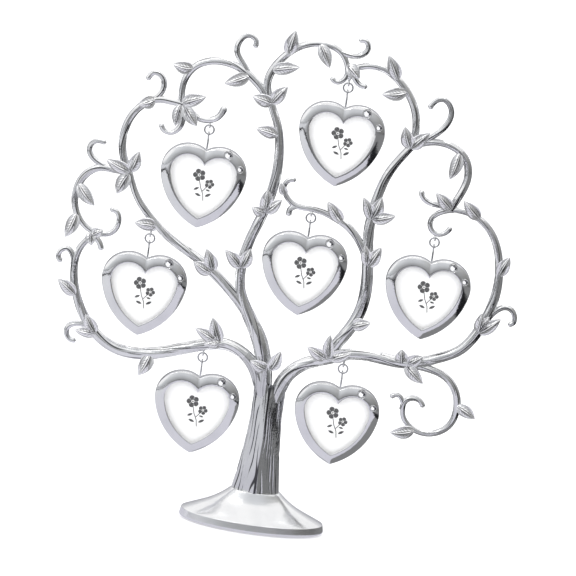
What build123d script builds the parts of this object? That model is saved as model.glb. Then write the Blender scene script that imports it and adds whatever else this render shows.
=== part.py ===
from build123d import *
import os
from math import acos, ceil, cos, pi, radians, sin

# A cast silver tree on an oval foot, with seven heart photo frames hanging from its boughs.
# Millimetres, +Z up, the front towards -Y, the origin at the middle of the foot's underside.

# Whole tree
tree_height = 230.0
crown_width = 208.0

# Sizes across the boughs
stem_size = 7.4
bough_size = 5.6
limb_size = 4.5
vine_size = 3.3
tendril_size = 2.5
tip_size = 1.9
bough_sides = 8
vine_sides = 6

# Spacing of a bough's sections: the longest run as a share of its thickness, the largest turn in degrees
longest_step_share = 3.2
largest_turn = 30.0
route_samples = 60

# Leaves
leaf_width = 5.8
leaf_ridge = 1.2
leaf_thickness = 0.9
leaf_rise = 1.2
leaf_station_shares = ((0.25, 0.86), (0.52, 1.00), (0.80, 0.62))
leaf_seat_share = 0.34

# Foot
foot_length = 66.4
foot_depth = 32.8
foot_rim_height = 4.6
foot_height = 16.7
foot_edge = 0.7
foot_sides = 32
collar_length = 22.6
collar_depth = 13.0
felt_thickness = 1.5
felt_proud = 0.5
felt_margin = 3.0
felt_clearance = 0.3

# Screw that holds the trunk on the foot
screw_size = 4.0
screw_length = 20.0
screw_head_size = 7.6
screw_head_height = 2.6
screw_clearance = 0.1
counterbore_size = 8.6
counterbore_height = 5.0
slot_length_share = 0.6
slot_width_share = 0.25

# Trunk
trunk_bottom_depth = 12.0
trunk_waist_depth = 9.0
trunk_top_depth = 8.0

# Heart outline: two lobe arcs, each running into a flatter side arc
heart_lobe_radius = 12.2
heart_lobe_spread = 7.0
heart_lobe_height = 25.4
heart_join_angle = 10.0
lobe_flats = 7
side_flats = 4

# Heart frame
bezel_back = 2.4
bezel_shoulder = 1.0
bezel_crest = 3.0
bezel_round = 1.0
bezel_round_height = 2.3
bezel_crest_inset = 3.2
bezel_crest_land = 0.3
window_inset = 4.4
window_edge_height = 2.2
pocket_inset = 2.4
lip_height = 1.2
pane_thickness = 1.0
card_thickness = 0.3
cover_thickness = 1.7
cover_gap = 0.3
fit_clearance = 0.1
cover_clearance = 0.3
pry_notch_radius = 2.0
pry_notch_depth = 0.8

# Crystals and their settings, from the tip and the middle line of a heart
large_crystal_size = 3.4
large_crystal_across = 10.0
large_crystal_up = 35.0
small_crystal_size = 2.6
small_crystal_across = 16.0
small_crystal_up = 29.4
setting_wall = 0.35
setting_height = 3.1
setting_floor = 1.9
crystal_girdle = 0.7
crystal_crown = 0.7
crystal_table_share = 0.6
crystal_clearance = 0.05
crystal_sides = 8

# Jump rings, lugs and hangers
ring_size = 5.0
ring_wire = 0.8
ring_bevel = 0.2
ring_sides = 16
eye_hole = 1.7
eye_wall = 0.6
eye_thickness = 0.9
eye_sides = 10
lug_thickness = 1.0
lug_rise = 2.6
ring_to_tip = 45.0
hanger_stem = 1.0
hanger_seat_depth = 2.4
hanger_clearance = 0.05

# Length of cutting bodies past the faces that they leave through
overrun = 1.0

# Places of the seven rings, across as shares of the crown's width and up as shares of the height
ring_shares = {
    "upper_left": (-0.2050, 0.7810),
    "top": (0.0770, 0.9010),
    "mid_left": (-0.3010, 0.5500),
    "centre": (0.0370, 0.6350),
    "right": (0.3080, 0.6210),
    "lower_left": (-0.1535, 0.3265),
    "lower_right": (0.1520, 0.3430),
}

# Routes of the boughs through the tree's middle plane, as shares of its width and height
left_bough_shares = (
    (-0.012, 0.262), (-0.045, 0.328), (-0.105, 0.359), (-0.160, 0.351), (-0.230, 0.329), (-0.300, 0.316),
    (-0.360, 0.326), (-0.410, 0.363), (-0.440, 0.410), (-0.455, 0.465), (-0.448, 0.512), (-0.421, 0.544),
)
left_loop_shares = (
    (-0.363, 0.677), (-0.395, 0.677), (-0.425, 0.677), (-0.452, 0.663), (-0.470, 0.632), (-0.468, 0.588),
    (-0.445, 0.558), (-0.415, 0.546), (-0.386, 0.550), (-0.3725, 0.572), (-0.380, 0.594), (-0.395, 0.597),
)
left_low_curl_shares = (
    (-0.405, 0.357), (-0.437, 0.359), (-0.453, 0.350), (-0.4535, 0.335), (-0.443, 0.325), (-0.431, 0.325),
)
left_mid_curl_shares = (
    (-0.458, 0.476), (-0.463, 0.498), (-0.477, 0.508), (-0.492, 0.500), (-0.4935, 0.485), (-0.483, 0.479),
)
left_high_curl_shares = (
    (-0.400, 0.677), (-0.428, 0.685), (-0.449, 0.697), (-0.455, 0.712), (-0.446, 0.726), (-0.420, 0.727),
)
left_stub_shares = ((-0.425, 0.541), (-0.408, 0.528), (-0.4015, 0.512))
centre_limb_shares = (
    (-0.010, 0.258), (-0.020, 0.330), (-0.040, 0.383), (-0.068, 0.425), (-0.093, 0.475), (-0.097, 0.520),
    (-0.086, 0.577), (-0.067, 0.630), (-0.051, 0.695), (-0.050, 0.755), (-0.060, 0.805), (-0.082, 0.850),
    (-0.095, 0.890), (-0.076, 0.934), (-0.040, 0.966), (0.005, 0.979), (0.046, 0.971), (0.069, 0.942),
    (0.066, 0.916), (0.050, 0.909), (0.038, 0.918),
)
diagonal_limb_shares = (
    (-0.062, 0.417), (-0.100, 0.456), (-0.150, 0.496), (-0.200, 0.527), (-0.250, 0.551), (-0.300, 0.587),
    (-0.340, 0.629), (-0.364, 0.678),
)
mid_left_stub_shares = ((-0.285, 0.575), (-0.297, 0.571), (-0.301, 0.565))
left_arch_shares = (
    (-0.362, 0.672), (-0.378, 0.700), (-0.3865, 0.740), (-0.379, 0.777), (-0.355, 0.810), (-0.320, 0.827),
    (-0.290, 0.826), (-0.264, 0.822), (-0.243, 0.807), (-0.215, 0.799), (-0.190, 0.808), (-0.178, 0.831),
)
left_arch_curl_shares = (
    (-0.338, 0.820), (-0.321, 0.835), (-0.314, 0.855), (-0.322, 0.873), (-0.338, 0.877), (-0.351, 0.861),
)
left_drop_curl_shares = (
    (-0.273, 0.823), (-0.264, 0.795), (-0.273, 0.772), (-0.290, 0.7645), (-0.304, 0.770), (-0.309, 0.781),
)
top_left_arch_shares = (
    (-0.079, 0.848), (-0.105, 0.875), (-0.135, 0.898), (-0.175, 0.915), (-0.218, 0.916), (-0.252, 0.901),
    (-0.272, 0.869), (-0.271, 0.822),
)
top_left_curl_shares = (
    (-0.136, 0.899), (-0.152, 0.919), (-0.1675, 0.940), (-0.164, 0.965), (-0.148, 0.976), (-0.131, 0.967),
    (-0.132, 0.953),
)
top_curl_shares = (
    (0.052, 0.967), (0.076, 0.9645), (0.098, 0.970), (0.1075, 0.985), (0.100, 0.998), (0.085, 0.997),
)
top_drop_shares = ((0.068, 0.946), (0.0775, 0.930), (0.077, 0.917))
top_stub_shares = ((0.072, 0.943), (0.088, 0.921), (0.101, 0.910), (0.118, 0.908))
top_right_arch_shares = (
    (0.2285, 0.801), (0.2330, 0.832), (0.2270, 0.870), (0.2050, 0.907), (0.1750, 0.934), (0.1380, 0.949),
    (0.1050, 0.947), (0.0730, 0.935),
)
right_bough_shares = (
    (0.016, 0.255), (0.030, 0.307), (0.070, 0.343), (0.115, 0.359), (0.160, 0.374), (0.210, 0.377),
    (0.255, 0.373), (0.300, 0.374), (0.350, 0.390), (0.395, 0.412), (0.428, 0.453), (0.449, 0.503),
    (0.457, 0.553), (0.452, 0.600), (0.432, 0.648), (0.395, 0.680), (0.350, 0.691), (0.315, 0.684),
    (0.295, 0.668), (0.2945, 0.650), (0.308, 0.639), (0.327, 0.642), (0.339, 0.657),
)
lower_curl_shares = (
    (0.285, 0.370), (0.330, 0.368), (0.372, 0.357), (0.400, 0.330), (0.409, 0.295), (0.397, 0.257),
    (0.360, 0.2365), (0.320, 0.242), (0.295, 0.268), (0.290, 0.295), (0.277, 0.306), (0.262, 0.299),
)
lower_inner_curl_shares = ((0.292, 0.278), (0.298, 0.298), (0.316, 0.304), (0.331, 0.297), (0.337, 0.287))
right_limb_shares = (
    (0.116, 0.358), (0.128, 0.385), (0.152, 0.423), (0.171, 0.465), (0.1765, 0.515), (0.171, 0.570),
    (0.1645, 0.630), (0.1715, 0.690), (0.189, 0.745), (0.2285, 0.803),
)
centre_vine_shares = (
    (0.169, 0.567), (0.150, 0.599), (0.118, 0.628), (0.080, 0.645), (0.037, 0.6535), (0.000, 0.656),
    (-0.022, 0.672), (-0.029, 0.691), (-0.020, 0.704), (-0.005, 0.706),
)
centre_stub_shares = ((0.004, 0.655), (-0.009, 0.648), (-0.011, 0.632))
right_arch_shares = (
    (0.332, 0.690), (0.347, 0.721), (0.358, 0.755), (0.350, 0.790), (0.320, 0.813), (0.275, 0.818),
    (0.2285, 0.803),
)
right_arch_curl_shares = (
    (0.250, 0.811), (0.276, 0.833), (0.300, 0.862), (0.301, 0.889), (0.281, 0.904), (0.261, 0.893),
    (0.255, 0.882),
)
right_inner_curl_shares = ((0.335, 0.691), (0.305, 0.696), (0.283, 0.699), (0.268, 0.708), (0.265, 0.722))
right_outer_curl_shares = (
    (0.445, 0.480), (0.460, 0.500), (0.484, 0.512), (0.503, 0.502), (0.5045, 0.482), (0.491, 0.478),
)

# Ends of the separately cast limbs along their routes, as shares of each route
trunk_left_share = 0.15
trunk_centre_share = 0.10
trunk_right_share = 0.06
crown_joint_share = 0.57
loop_joint_share = 0.06
left_arch_joint_share = 0.09
top_left_joint_share = 0.17
top_right_joint_share = 0.10
right_limb_joint_share = 0.10
outer_joint_share = 0.42
right_arch_joint_share = 0.74

# Leaves as pairs of foot and point, grouped by the limb that carries them
trunk_leaf_shares = (((-0.006, 0.322), (0.013, 0.366)), ((-0.010, 0.322), (-0.050, 0.339)))
left_bough_leaf_shares = (
    ((-0.121, 0.362), (-0.143, 0.413)), ((-0.123, 0.362), (-0.178, 0.3875)), ((-0.115, 0.362), (-0.155, 0.357)),
    ((-0.266, 0.320), (-0.287, 0.276)), ((-0.392, 0.347), (-0.418, 0.384)), ((-0.390, 0.344), (-0.437, 0.349)),
    ((-0.445, 0.418), (-0.486, 0.447)),
)
left_loop_leaf_shares = (
    ((-0.424, 0.543), (-0.403, 0.557)), ((-0.427, 0.548), (-0.424, 0.522)), ((-0.469, 0.640), (-0.428, 0.602)),
    ((-0.464, 0.580), (-0.482, 0.532)),
)
fork_leaf_shares = (
    ((-0.097, 0.518), (-0.136, 0.552)), ((-0.097, 0.518), (-0.082, 0.561)), ((-0.062, 0.634), (-0.092, 0.644)),
    ((-0.062, 0.636), (-0.063, 0.683)), ((-0.061, 0.634), (-0.030, 0.666)),
)
diagonal_leaf_shares = (
    ((-0.157, 0.501), (-0.176, 0.548)), ((-0.158, 0.499), (-0.201, 0.519)), ((-0.291, 0.578), (-0.338, 0.580)),
    ((-0.362, 0.677), (-0.416, 0.698)), ((-0.362, 0.677), (-0.347, 0.722)), ((-0.364, 0.674), (-0.384, 0.632)),
)
left_arch_leaf_shares = (
    ((-0.328, 0.826), (-0.362, 0.813)), ((-0.272, 0.824), (-0.278, 0.781)), ((-0.264, 0.821), (-0.232, 0.787)),
    ((-0.271, 0.826), (-0.220, 0.847)), ((-0.257, 0.897), (-0.300, 0.902)), ((-0.135, 0.898), (-0.186, 0.878)),
)
top_arch_leaf_shares = (
    ((-0.058, 0.790), (-0.106, 0.799)), ((-0.078, 0.850), (-0.123, 0.861)), ((-0.080, 0.850), (-0.051, 0.889)),
    ((-0.089, 0.916), (-0.031, 0.930)), ((-0.060, 0.950), (-0.050, 1.000)), ((0.006, 0.979), (0.032, 0.937)),
    ((0.069, 0.946), (0.098, 0.924)),
)
top_right_leaf_shares = (((0.180, 0.931), (0.153, 0.977)), ((0.203, 0.909), (0.150, 0.900)))
right_bough_leaf_shares = (
    ((0.114, 0.359), (0.068, 0.382)), ((0.117, 0.360), (0.114, 0.412)), ((0.120, 0.361), (0.165, 0.381)),
)
lower_curl_leaf_shares = (
    ((0.276, 0.371), (0.272, 0.402)), ((0.288, 0.371), (0.320, 0.393)), ((0.284, 0.371), (0.328, 0.339)),
    ((0.408, 0.302), (0.451, 0.283)), ((0.325, 0.240), (0.273, 0.231)),
)
right_limb_leaf_shares = (
    ((0.157, 0.432), (0.197, 0.447)), ((0.173, 0.556), (0.160, 0.601)), ((0.174, 0.556), (0.196, 0.600)),
    ((0.166, 0.650), (0.143, 0.694)), ((0.166, 0.650), (0.182, 0.699)), ((0.167, 0.650), (0.217, 0.666)),
)
centre_vine_leaf_shares = (((0.104, 0.636), (0.068, 0.675)), ((-0.024, 0.674), (-0.037, 0.699)))
crown_right_leaf_shares = (((0.227, 0.800), (0.209, 0.843)), ((0.228, 0.800), (0.264, 0.838)))
outer_limb_leaf_shares = (
    ((0.429, 0.455), (0.432, 0.497)), ((0.431, 0.456), (0.448, 0.492)), ((0.430, 0.453), (0.474, 0.490)),
    ((0.455, 0.573), (0.473, 0.616)), ((0.396, 0.680), (0.357, 0.714)), ((0.334, 0.690), (0.296, 0.722)),
)
right_arch_leaf_shares = (((0.334, 0.805), (0.320, 0.752)),)

# Trunk: height and left and right edges of each section, then its ribbed outline
trunk_section_shares = (
    (0.0705, -0.0525, 0.0520), (0.0900, -0.0495, 0.0490), (0.1200, -0.0450, 0.0445),
    (0.1500, -0.0405, 0.0410), (0.1850, -0.0355, 0.0380), (0.2250, -0.0325, 0.0350),
    (0.2650, -0.0330, 0.0350), (0.3000, -0.0380, 0.0370),
)
trunk_outline_shares = (
    (-1.00, 0.05), (-0.90, -0.42), (-0.68, -0.44), (-0.52, -0.70), (-0.30, -0.66), (-0.04, -1.00),
    (0.14, -0.80), (0.30, -0.86), (0.50, -0.56), (0.70, -0.60), (0.90, -0.30), (1.00, 0.10),
    (0.82, 0.60), (0.45, 0.78), (0.22, 0.70), (-0.04, 0.95), (-0.30, 0.72), (-0.55, 0.80), (-0.86, 0.52),
)

# Foot: how far each section stands out from the collar, and its height, as shares
foot_flare_shares = ((0.95, 0.085), (0.72, 0.24), (0.45, 0.43), (0.27, 0.62), (0.10, 0.85), (0.0, 1.0))


def tree_point(point_share):
    """Point of the tree's middle plane from its width and height shares."""
    across_share, up_share = point_share
    return Vector(across_share * crown_width, 0, up_share * tree_height)


def size_along(sizes, share):
    """Size at a share of a route, eased in straight steps between evenly spaced sizes."""
    position = share * (len(sizes) - 1)
    step = min(int(position), len(sizes) - 2)
    return sizes[step] + (sizes[step + 1] - sizes[step]) * (position - step)


def station_shares(route, sizes, first_share, last_share):
    """Shares of a route for its sections, closer where it is thin and where it turns."""
    marks = [0.0]
    reach_share = (last_share - first_share) / route_samples
    for sample in range(route_samples):
        share = first_share + reach_share * sample
        length = route.length * reach_share
        turn = (route % share).get_angle(route % (share + reach_share))
        marks.append(marks[-1] + length / size_along(sizes, share) / longest_step_share + turn / largest_turn)
    steps = max(2, ceil(marks[-1]))
    shares = [first_share]
    for step in range(1, steps):
        wanted = marks[-1] * step / steps
        sample = max(index for index, mark in enumerate(marks) if mark <= wanted)
        part_share = (wanted - marks[sample]) / (marks[sample + 1] - marks[sample])
        shares.append(first_share + reach_share * (sample + part_share))
    shares.append(last_share)
    return shares


def grow(route_shares, sizes, first_share=0.0, last_share=1.0):
    """Tapering bough of flat-sided section along a smooth route, with fewer sides on a thin one."""
    route = Spline(*[tree_point(point) for point in route_shares])
    sides = bough_sides if sizes[0] > vine_size else vine_sides
    sections = []
    for share in station_shares(route, sizes, first_share, last_share):
        station = Plane(origin=route @ share, x_dir=(0, 1, 0), z_dir=route % share)
        with BuildSketch(station) as section:
            RegularPolygon(size_along(sizes, share) / 2, sides)
        sections.append(section.sketch)
    return loft(sections=sections, ruled=True, clean=False, mode=Mode.PRIVATE)


def leaves(leaf_shares, carrier_size):
    """Folded pointed leaves on the front of a bough."""
    grown = []
    for foot_share, point_share in leaf_shares:
        foot = tree_point(foot_share) - Vector(0, carrier_size * leaf_seat_share, 0)
        point = tree_point(point_share) - Vector(0, carrier_size / 2 + leaf_rise, 0)
        run = point - foot
        sections = [Vertex(*foot)]
        for along_share, width_share in leaf_station_shares:
            station = Plane(
                origin=foot + run * along_share, x_dir=run.cross(Vector(0, 1, 0)), z_dir=run
            )
            half_width = leaf_width * width_share / 2
            ridge = leaf_ridge * width_share
            hollow = ridge - leaf_thickness * width_share
            with BuildSketch(station) as section:
                with BuildLine():
                    Polyline((-half_width, 0), (0, ridge), (half_width, 0), (0, hollow), close=True)
                make_face()
            sections.append(section.sketch)
        sections.append(Vertex(*point))
        grown.append(loft(sections=sections, ruled=True, clean=False, mode=Mode.PRIVATE))
    return grown


def curls(*routes):
    """Thin curls along several routes."""
    return [grow(route_shares, curl_sizes) for route_shares in routes]


def eye(middle, rise, thickness):
    """Flat eye with its hole along X and a tab that rises from it, added to the current part."""
    side = Plane(origin=middle - Vector(thickness / 2, 0, 0), x_dir=(0, 1, 0), z_dir=(1, 0, 0))
    with BuildSketch(side) as outline:
        RegularPolygon(eye_hole / 2 + eye_wall, eye_sides)
        with Locations((0, rise / 2)):
            Rectangle(eye_hole / 2 + eye_wall, abs(rise))
        Circle(eye_hole / 2, mode=Mode.SUBTRACT)
    extrude(outline.sketch, amount=thickness)


def lug(name):
    """Lug under a bough for one jump ring, added to the current part."""
    eye(tree_point(ring_shares[name]) + Vector(0, 0, ring_size / 2 - ring_wire / 2), lug_rise, lug_thickness)


def oval(length, depth, height):
    """Level oval face with short flats, about the tree's axis."""
    with BuildSketch(Plane.XY.offset(height)) as face:
        with BuildLine():
            Polyline(
                *[
                    (length / 2 * cos(2 * pi * step / foot_sides), depth / 2 * sin(2 * pi * step / foot_sides))
                    for step in range(foot_sides)
                ],
                close=True,
            )
        make_face()
    return face.sketch


def foot():
    """Oval foot: upright rim and hollow flare up to the trunk, bored for the screw."""
    with BuildPart() as foot_part:
        sections = [
            oval(foot_length - 2 * foot_edge, foot_depth - 2 * foot_edge, felt_proud),
            oval(foot_length, foot_depth, felt_proud + foot_edge),
            oval(foot_length, foot_depth, foot_rim_height),
        ]
        for out_share, up_share in foot_flare_shares:
            sections.append(
                oval(
                    collar_length + (foot_length - collar_length) * out_share,
                    collar_depth + (foot_depth - collar_depth) * out_share,
                    foot_rim_height + (foot_height - foot_rim_height) * up_share,
                )
            )
        loft(sections=sections, ruled=True)
        recess_top = felt_thickness
        recess = oval(foot_length - 2 * felt_margin, foot_depth - 2 * felt_margin, recess_top)
        extrude(recess, amount=-felt_thickness, mode=Mode.SUBTRACT)
        with Locations(Plane.XY.offset(foot_height)):
            Hole(screw_size / 2 + screw_clearance)
        counterbore_top = recess_top + counterbore_height
        with BuildSketch(Plane.XY.offset(counterbore_top)):
            Circle(counterbore_size / 2)
        extrude(amount=-counterbore_height, mode=Mode.SUBTRACT)
    return foot_part


def felt():
    """Oval felt pad in the foot's recess, a little proud of the rim."""
    with BuildPart() as felt_part:
        inset = felt_margin + felt_clearance
        pad = oval(foot_length - 2 * inset, foot_depth - 2 * inset, 0)
        extrude(pad, amount=felt_thickness)
    return felt_part


def screw():
    """Pan-head screw up through the foot into the trunk."""
    with BuildPart() as screw_part:
        seat = felt_thickness + counterbore_height
        with BuildSketch(Plane.XY.offset(seat - screw_head_height)):
            Circle(screw_head_size / 2)
        extrude(amount=screw_head_height)
        with BuildSketch(Plane.XY.offset(seat)):
            Circle(screw_size / 2)
        extrude(amount=screw_length)
        with BuildSketch(Plane.XY.offset(seat - screw_head_height)):
            SlotOverall(screw_head_size * slot_length_share, screw_size * slot_width_share)
            SlotOverall(screw_head_size * slot_length_share, screw_size * slot_width_share, rotation=90)
        extrude(amount=screw_head_height / 2, mode=Mode.SUBTRACT)
    return screw_part


def trunk_depth(share):
    """Depth of the trunk at a share of its rise."""
    return size_along((trunk_bottom_depth, trunk_waist_depth, trunk_top_depth), share)


def trunk():
    """Ribbed trunk with a ridge down its front, up to the roots of the three boughs."""
    with BuildPart() as trunk_part:
        last = len(trunk_section_shares) - 1
        for step, (up_share, left_share, right_share) in enumerate(trunk_section_shares):
            height = foot_height if step == 0 else up_share * tree_height
            half_width = (right_share - left_share) * crown_width / 2
            middle = (right_share + left_share) * crown_width / 2
            half_depth = trunk_depth(step / last) / 2
            with BuildSketch(Plane.XY.offset(height)):
                with BuildLine():
                    Polyline(
                        *[
                            (middle + half_width * across_share, half_depth * back_share)
                            for across_share, back_share in trunk_outline_shares
                        ],
                        close=True,
                    )
                make_face()
        loft(ruled=True)
        add(
            [
                grow(left_bough_shares, left_bough_sizes, 0, trunk_left_share),
                grow(centre_limb_shares, centre_limb_sizes, 0, trunk_centre_share),
                grow(right_bough_shares, right_bough_sizes, 0, trunk_right_share),
                *leaves(trunk_leaf_shares, stem_size),
            ],
            clean=False,
        )
        screw_reach = felt_thickness + counterbore_height + screw_length + overrun
        with BuildSketch(Plane.XY.offset(foot_height)):
            Circle(screw_size / 2 + screw_clearance)
        extrude(amount=screw_reach - foot_height, mode=Mode.SUBTRACT)
    return trunk_part


# Sizes along each long route, evenly spaced
left_bough_sizes = (stem_size, bough_size, bough_size, bough_size, limb_size, vine_size, tendril_size)
centre_limb_sizes = (stem_size, stem_size, limb_size, limb_size, limb_size, vine_size, vine_size, tendril_size, tip_size)
right_bough_sizes = (stem_size, bough_size, bough_size, limb_size, limb_size, vine_size, tendril_size, tip_size)
diagonal_limb_sizes = (limb_size, limb_size, vine_size, tendril_size)
right_limb_sizes = (bough_size, bough_size, limb_size, vine_size)
arch_sizes = (vine_size, vine_size, tendril_size)
loop_sizes = (vine_size, vine_size, tendril_size, tip_size)
curl_sizes = (tendril_size, tendril_size, tip_size)


def left_bough():
    """Left bough, the round loop at its end and their curls."""
    grown = [
        grow(left_bough_shares, left_bough_sizes, first_share=trunk_left_share),
        grow(left_loop_shares, loop_sizes, first_share=loop_joint_share),
        *curls(left_low_curl_shares, left_mid_curl_shares, left_high_curl_shares, left_stub_shares),
        *leaves(left_bough_leaf_shares, limb_size),
        *leaves(left_loop_leaf_shares, vine_size),
    ]
    with BuildPart() as bough:
        add(grown, clean=False)
        lug("lower_left")
    return bough


def forked_limb():
    """Middle limb up from the trunk and the diagonal limb that forks from it."""
    grown = [
        grow(centre_limb_shares, centre_limb_sizes, trunk_centre_share, crown_joint_share),
        grow(diagonal_limb_shares, diagonal_limb_sizes),
        grow(left_loop_shares, loop_sizes, last_share=loop_joint_share),
        grow(left_arch_shares, arch_sizes, last_share=left_arch_joint_share),
        *curls(mid_left_stub_shares),
        *leaves(fork_leaf_shares, limb_size),
        *leaves(diagonal_leaf_shares, vine_size),
    ]
    with BuildPart() as limb:
        add(grown, clean=False)
        lug("mid_left")
    return limb


def left_arches():
    """Two arches at the upper left, the hook that holds a ring and their curls."""
    grown = [
        grow(left_arch_shares, arch_sizes, first_share=left_arch_joint_share),
        grow(top_left_arch_shares, arch_sizes, first_share=top_left_joint_share),
        *curls(left_arch_curl_shares, left_drop_curl_shares, top_left_curl_shares),
        *leaves(left_arch_leaf_shares, vine_size),
    ]
    with BuildPart() as arches:
        add(grown, clean=False)
        lug("upper_left")
    return arches


def top_arch():
    """Arch over the top heart and the arch that falls from it to the right."""
    grown = [
        grow(centre_limb_shares, centre_limb_sizes, first_share=crown_joint_share),
        grow(top_left_arch_shares, arch_sizes, last_share=top_left_joint_share),
        grow(top_right_arch_shares, arch_sizes, first_share=top_right_joint_share),
        *curls(top_curl_shares, top_stub_shares, top_drop_shares),
        *leaves(top_arch_leaf_shares, vine_size),
        *leaves(top_right_leaf_shares, vine_size),
    ]
    with BuildPart() as arch:
        add(grown, clean=False)
        lug("top")
    return arch


def right_bough():
    """Right bough and the great curl below its end."""
    grown = [
        grow(right_bough_shares, right_bough_sizes, trunk_right_share, outer_joint_share),
        grow(right_limb_shares, right_limb_sizes, last_share=right_limb_joint_share),
        grow(lower_curl_shares, loop_sizes),
        *curls(lower_inner_curl_shares),
        *leaves(right_bough_leaf_shares, bough_size),
        *leaves(lower_curl_leaf_shares, vine_size),
    ]
    with BuildPart() as bough:
        add(grown, clean=False)
        lug("lower_right")
    return bough


def right_limb():
    """Limb up from the right bough and the vine that reaches back over the middle heart."""
    grown = [
        grow(right_limb_shares, right_limb_sizes, first_share=right_limb_joint_share),
        grow(centre_vine_shares, loop_sizes),
        grow(top_right_arch_shares, arch_sizes, last_share=top_right_joint_share),
        grow(right_arch_shares, arch_sizes, first_share=right_arch_joint_share),
        *curls(centre_stub_shares, right_arch_curl_shares),
        *leaves(right_limb_leaf_shares, limb_size),
        *leaves(centre_vine_leaf_shares, tendril_size),
        *leaves(crown_right_leaf_shares, vine_size),
    ]
    with BuildPart() as limb:
        add(grown, clean=False)
        lug("centre")
    return limb


def outer_limb():
    """Outer right limb, the curl that holds a ring and the arch back to the crown."""
    grown = [
        grow(right_bough_shares, right_bough_sizes, first_share=outer_joint_share),
        grow(right_arch_shares, arch_sizes, last_share=right_arch_joint_share),
        *curls(right_inner_curl_shares, right_outer_curl_shares),
        *leaves(outer_limb_leaf_shares, vine_size),
        *leaves(right_arch_leaf_shares, vine_size),
    ]
    with BuildPart() as limb:
        add(grown, clean=False)
        lug("right")
    return limb


def heart_half_points(inset):
    """Right half of the heart outline moved in by inset, from the cleft to the tip."""
    join = radians(heart_join_angle)
    reach = (heart_lobe_spread ** 2 + heart_lobe_height ** 2 - heart_lobe_radius ** 2) / 2
    reach /= heart_lobe_radius + heart_lobe_spread * cos(join) - heart_lobe_height * sin(join)
    side_across = heart_lobe_spread - reach * cos(join)
    side_up = heart_lobe_height + reach * sin(join)
    lobe_radius = heart_lobe_radius - inset
    side_radius = heart_lobe_radius + reach - inset
    cleft_angle = acos(-heart_lobe_spread / lobe_radius)
    tip_angle = -acos(-side_across / side_radius)
    points = []
    for step in range(lobe_flats + 1):
        angle = cleft_angle + (-join - cleft_angle) * step / lobe_flats
        points.append((heart_lobe_spread + lobe_radius * cos(angle), heart_lobe_height + lobe_radius * sin(angle)))
    for step in range(1, side_flats + 1):
        angle = -join + (tip_angle + join) * step / side_flats
        points.append((side_across + side_radius * cos(angle), side_up + side_radius * sin(angle)))
    points[0] = (0, points[0][1])
    points[-1] = (0, points[-1][1])
    return points


def heart(tip, inset, forward):
    """Upright heart face whose full-size tip is at the point, moved in and forward."""
    half = heart_half_points(inset)
    mirrored = [(-across, up) for across, up in reversed(half[1:-1])]
    with BuildSketch(Plane(origin=tip - Vector(0, forward, 0), x_dir=(1, 0, 0), z_dir=(0, -1, 0))) as face:
        with BuildLine():
            Polyline(*half, *mirrored, close=True)
        make_face()
    return face.sketch


def crystal_places(tip):
    """Middle and size of each of a heart's two crystals, on the tree's middle plane."""
    large = tip + Vector(large_crystal_across, 0, large_crystal_up)
    small = tip + Vector(small_crystal_across, 0, small_crystal_up)
    return ((large, large_crystal_size), (small, small_crystal_size))


def disc(middle, size, forward):
    """Upright many-sided face about a point, moved forward."""
    with BuildSketch(Plane(origin=middle - Vector(0, forward, 0), x_dir=(1, 0, 0), z_dir=(0, -1, 0))) as face:
        RegularPolygon(size / 2, crystal_sides)
    return face.sketch


def bezel(tip):
    """Moulded heart bezel with a window, a pocket behind it and two crystal settings."""
    with BuildPart() as bezel_part:
        loft(
            sections=[
                heart(tip, 0, -bezel_back),
                heart(tip, 0, bezel_shoulder),
                heart(tip, bezel_round, bezel_round_height),
                heart(tip, bezel_crest_inset, bezel_crest),
            ],
            ruled=True,
        )
        for middle, size in crystal_places(tip):
            extrude(disc(middle, size + 2 * setting_wall, 0), amount=setting_height)
        loft(
            sections=[
                heart(tip, bezel_crest_inset + bezel_crest_land, bezel_crest),
                heart(tip, window_inset, window_edge_height),
            ],
            ruled=True,
            mode=Mode.SUBTRACT,
        )
        extrude(heart(tip, window_inset, window_edge_height), amount=-window_edge_height, mode=Mode.SUBTRACT)
        extrude(heart(tip, pocket_inset, lip_height), amount=-(lip_height + bezel_back), mode=Mode.SUBTRACT)
        for middle, size in crystal_places(tip):
            extrude(disc(middle, size, setting_floor), amount=setting_height - setting_floor, mode=Mode.SUBTRACT)
        cleft = tip + Vector(0, 0, heart_half_points(0)[0][1])
        with BuildSketch(Plane(origin=cleft - Vector(0, 0, hanger_seat_depth), z_dir=(0, 0, 1))) as seat:
            RegularPolygon(hanger_stem / 2 + hanger_clearance, vine_sides)
        extrude(seat.sketch, amount=hanger_seat_depth + overrun, mode=Mode.SUBTRACT)
    return bezel_part


def pane(tip):
    """Clear heart pane against the bezel's lip."""
    with BuildPart() as pane_part:
        extrude(heart(tip, pocket_inset + fit_clearance, lip_height), amount=-pane_thickness)
    return pane_part


def photo_card(tip):
    """Printed heart card behind the pane."""
    with BuildPart() as card_part:
        extrude(heart(tip, pocket_inset + fit_clearance, lip_height - pane_thickness), amount=-card_thickness)
    return card_part


def back_cover(tip):
    """Push-in back with a pry notch at its tip."""
    with BuildPart() as cover_part:
        front = lip_height - pane_thickness - card_thickness - cover_gap
        extrude(heart(tip, pocket_inset + cover_clearance, front), amount=-cover_thickness)
        edge = tip + Vector(0, 0, heart_half_points(pocket_inset + cover_clearance)[-1][1])
        notch = disc(edge, 2 * pry_notch_radius, front - cover_thickness)
        extrude(notch, amount=pry_notch_depth, mode=Mode.SUBTRACT)
    return cover_part


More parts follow.
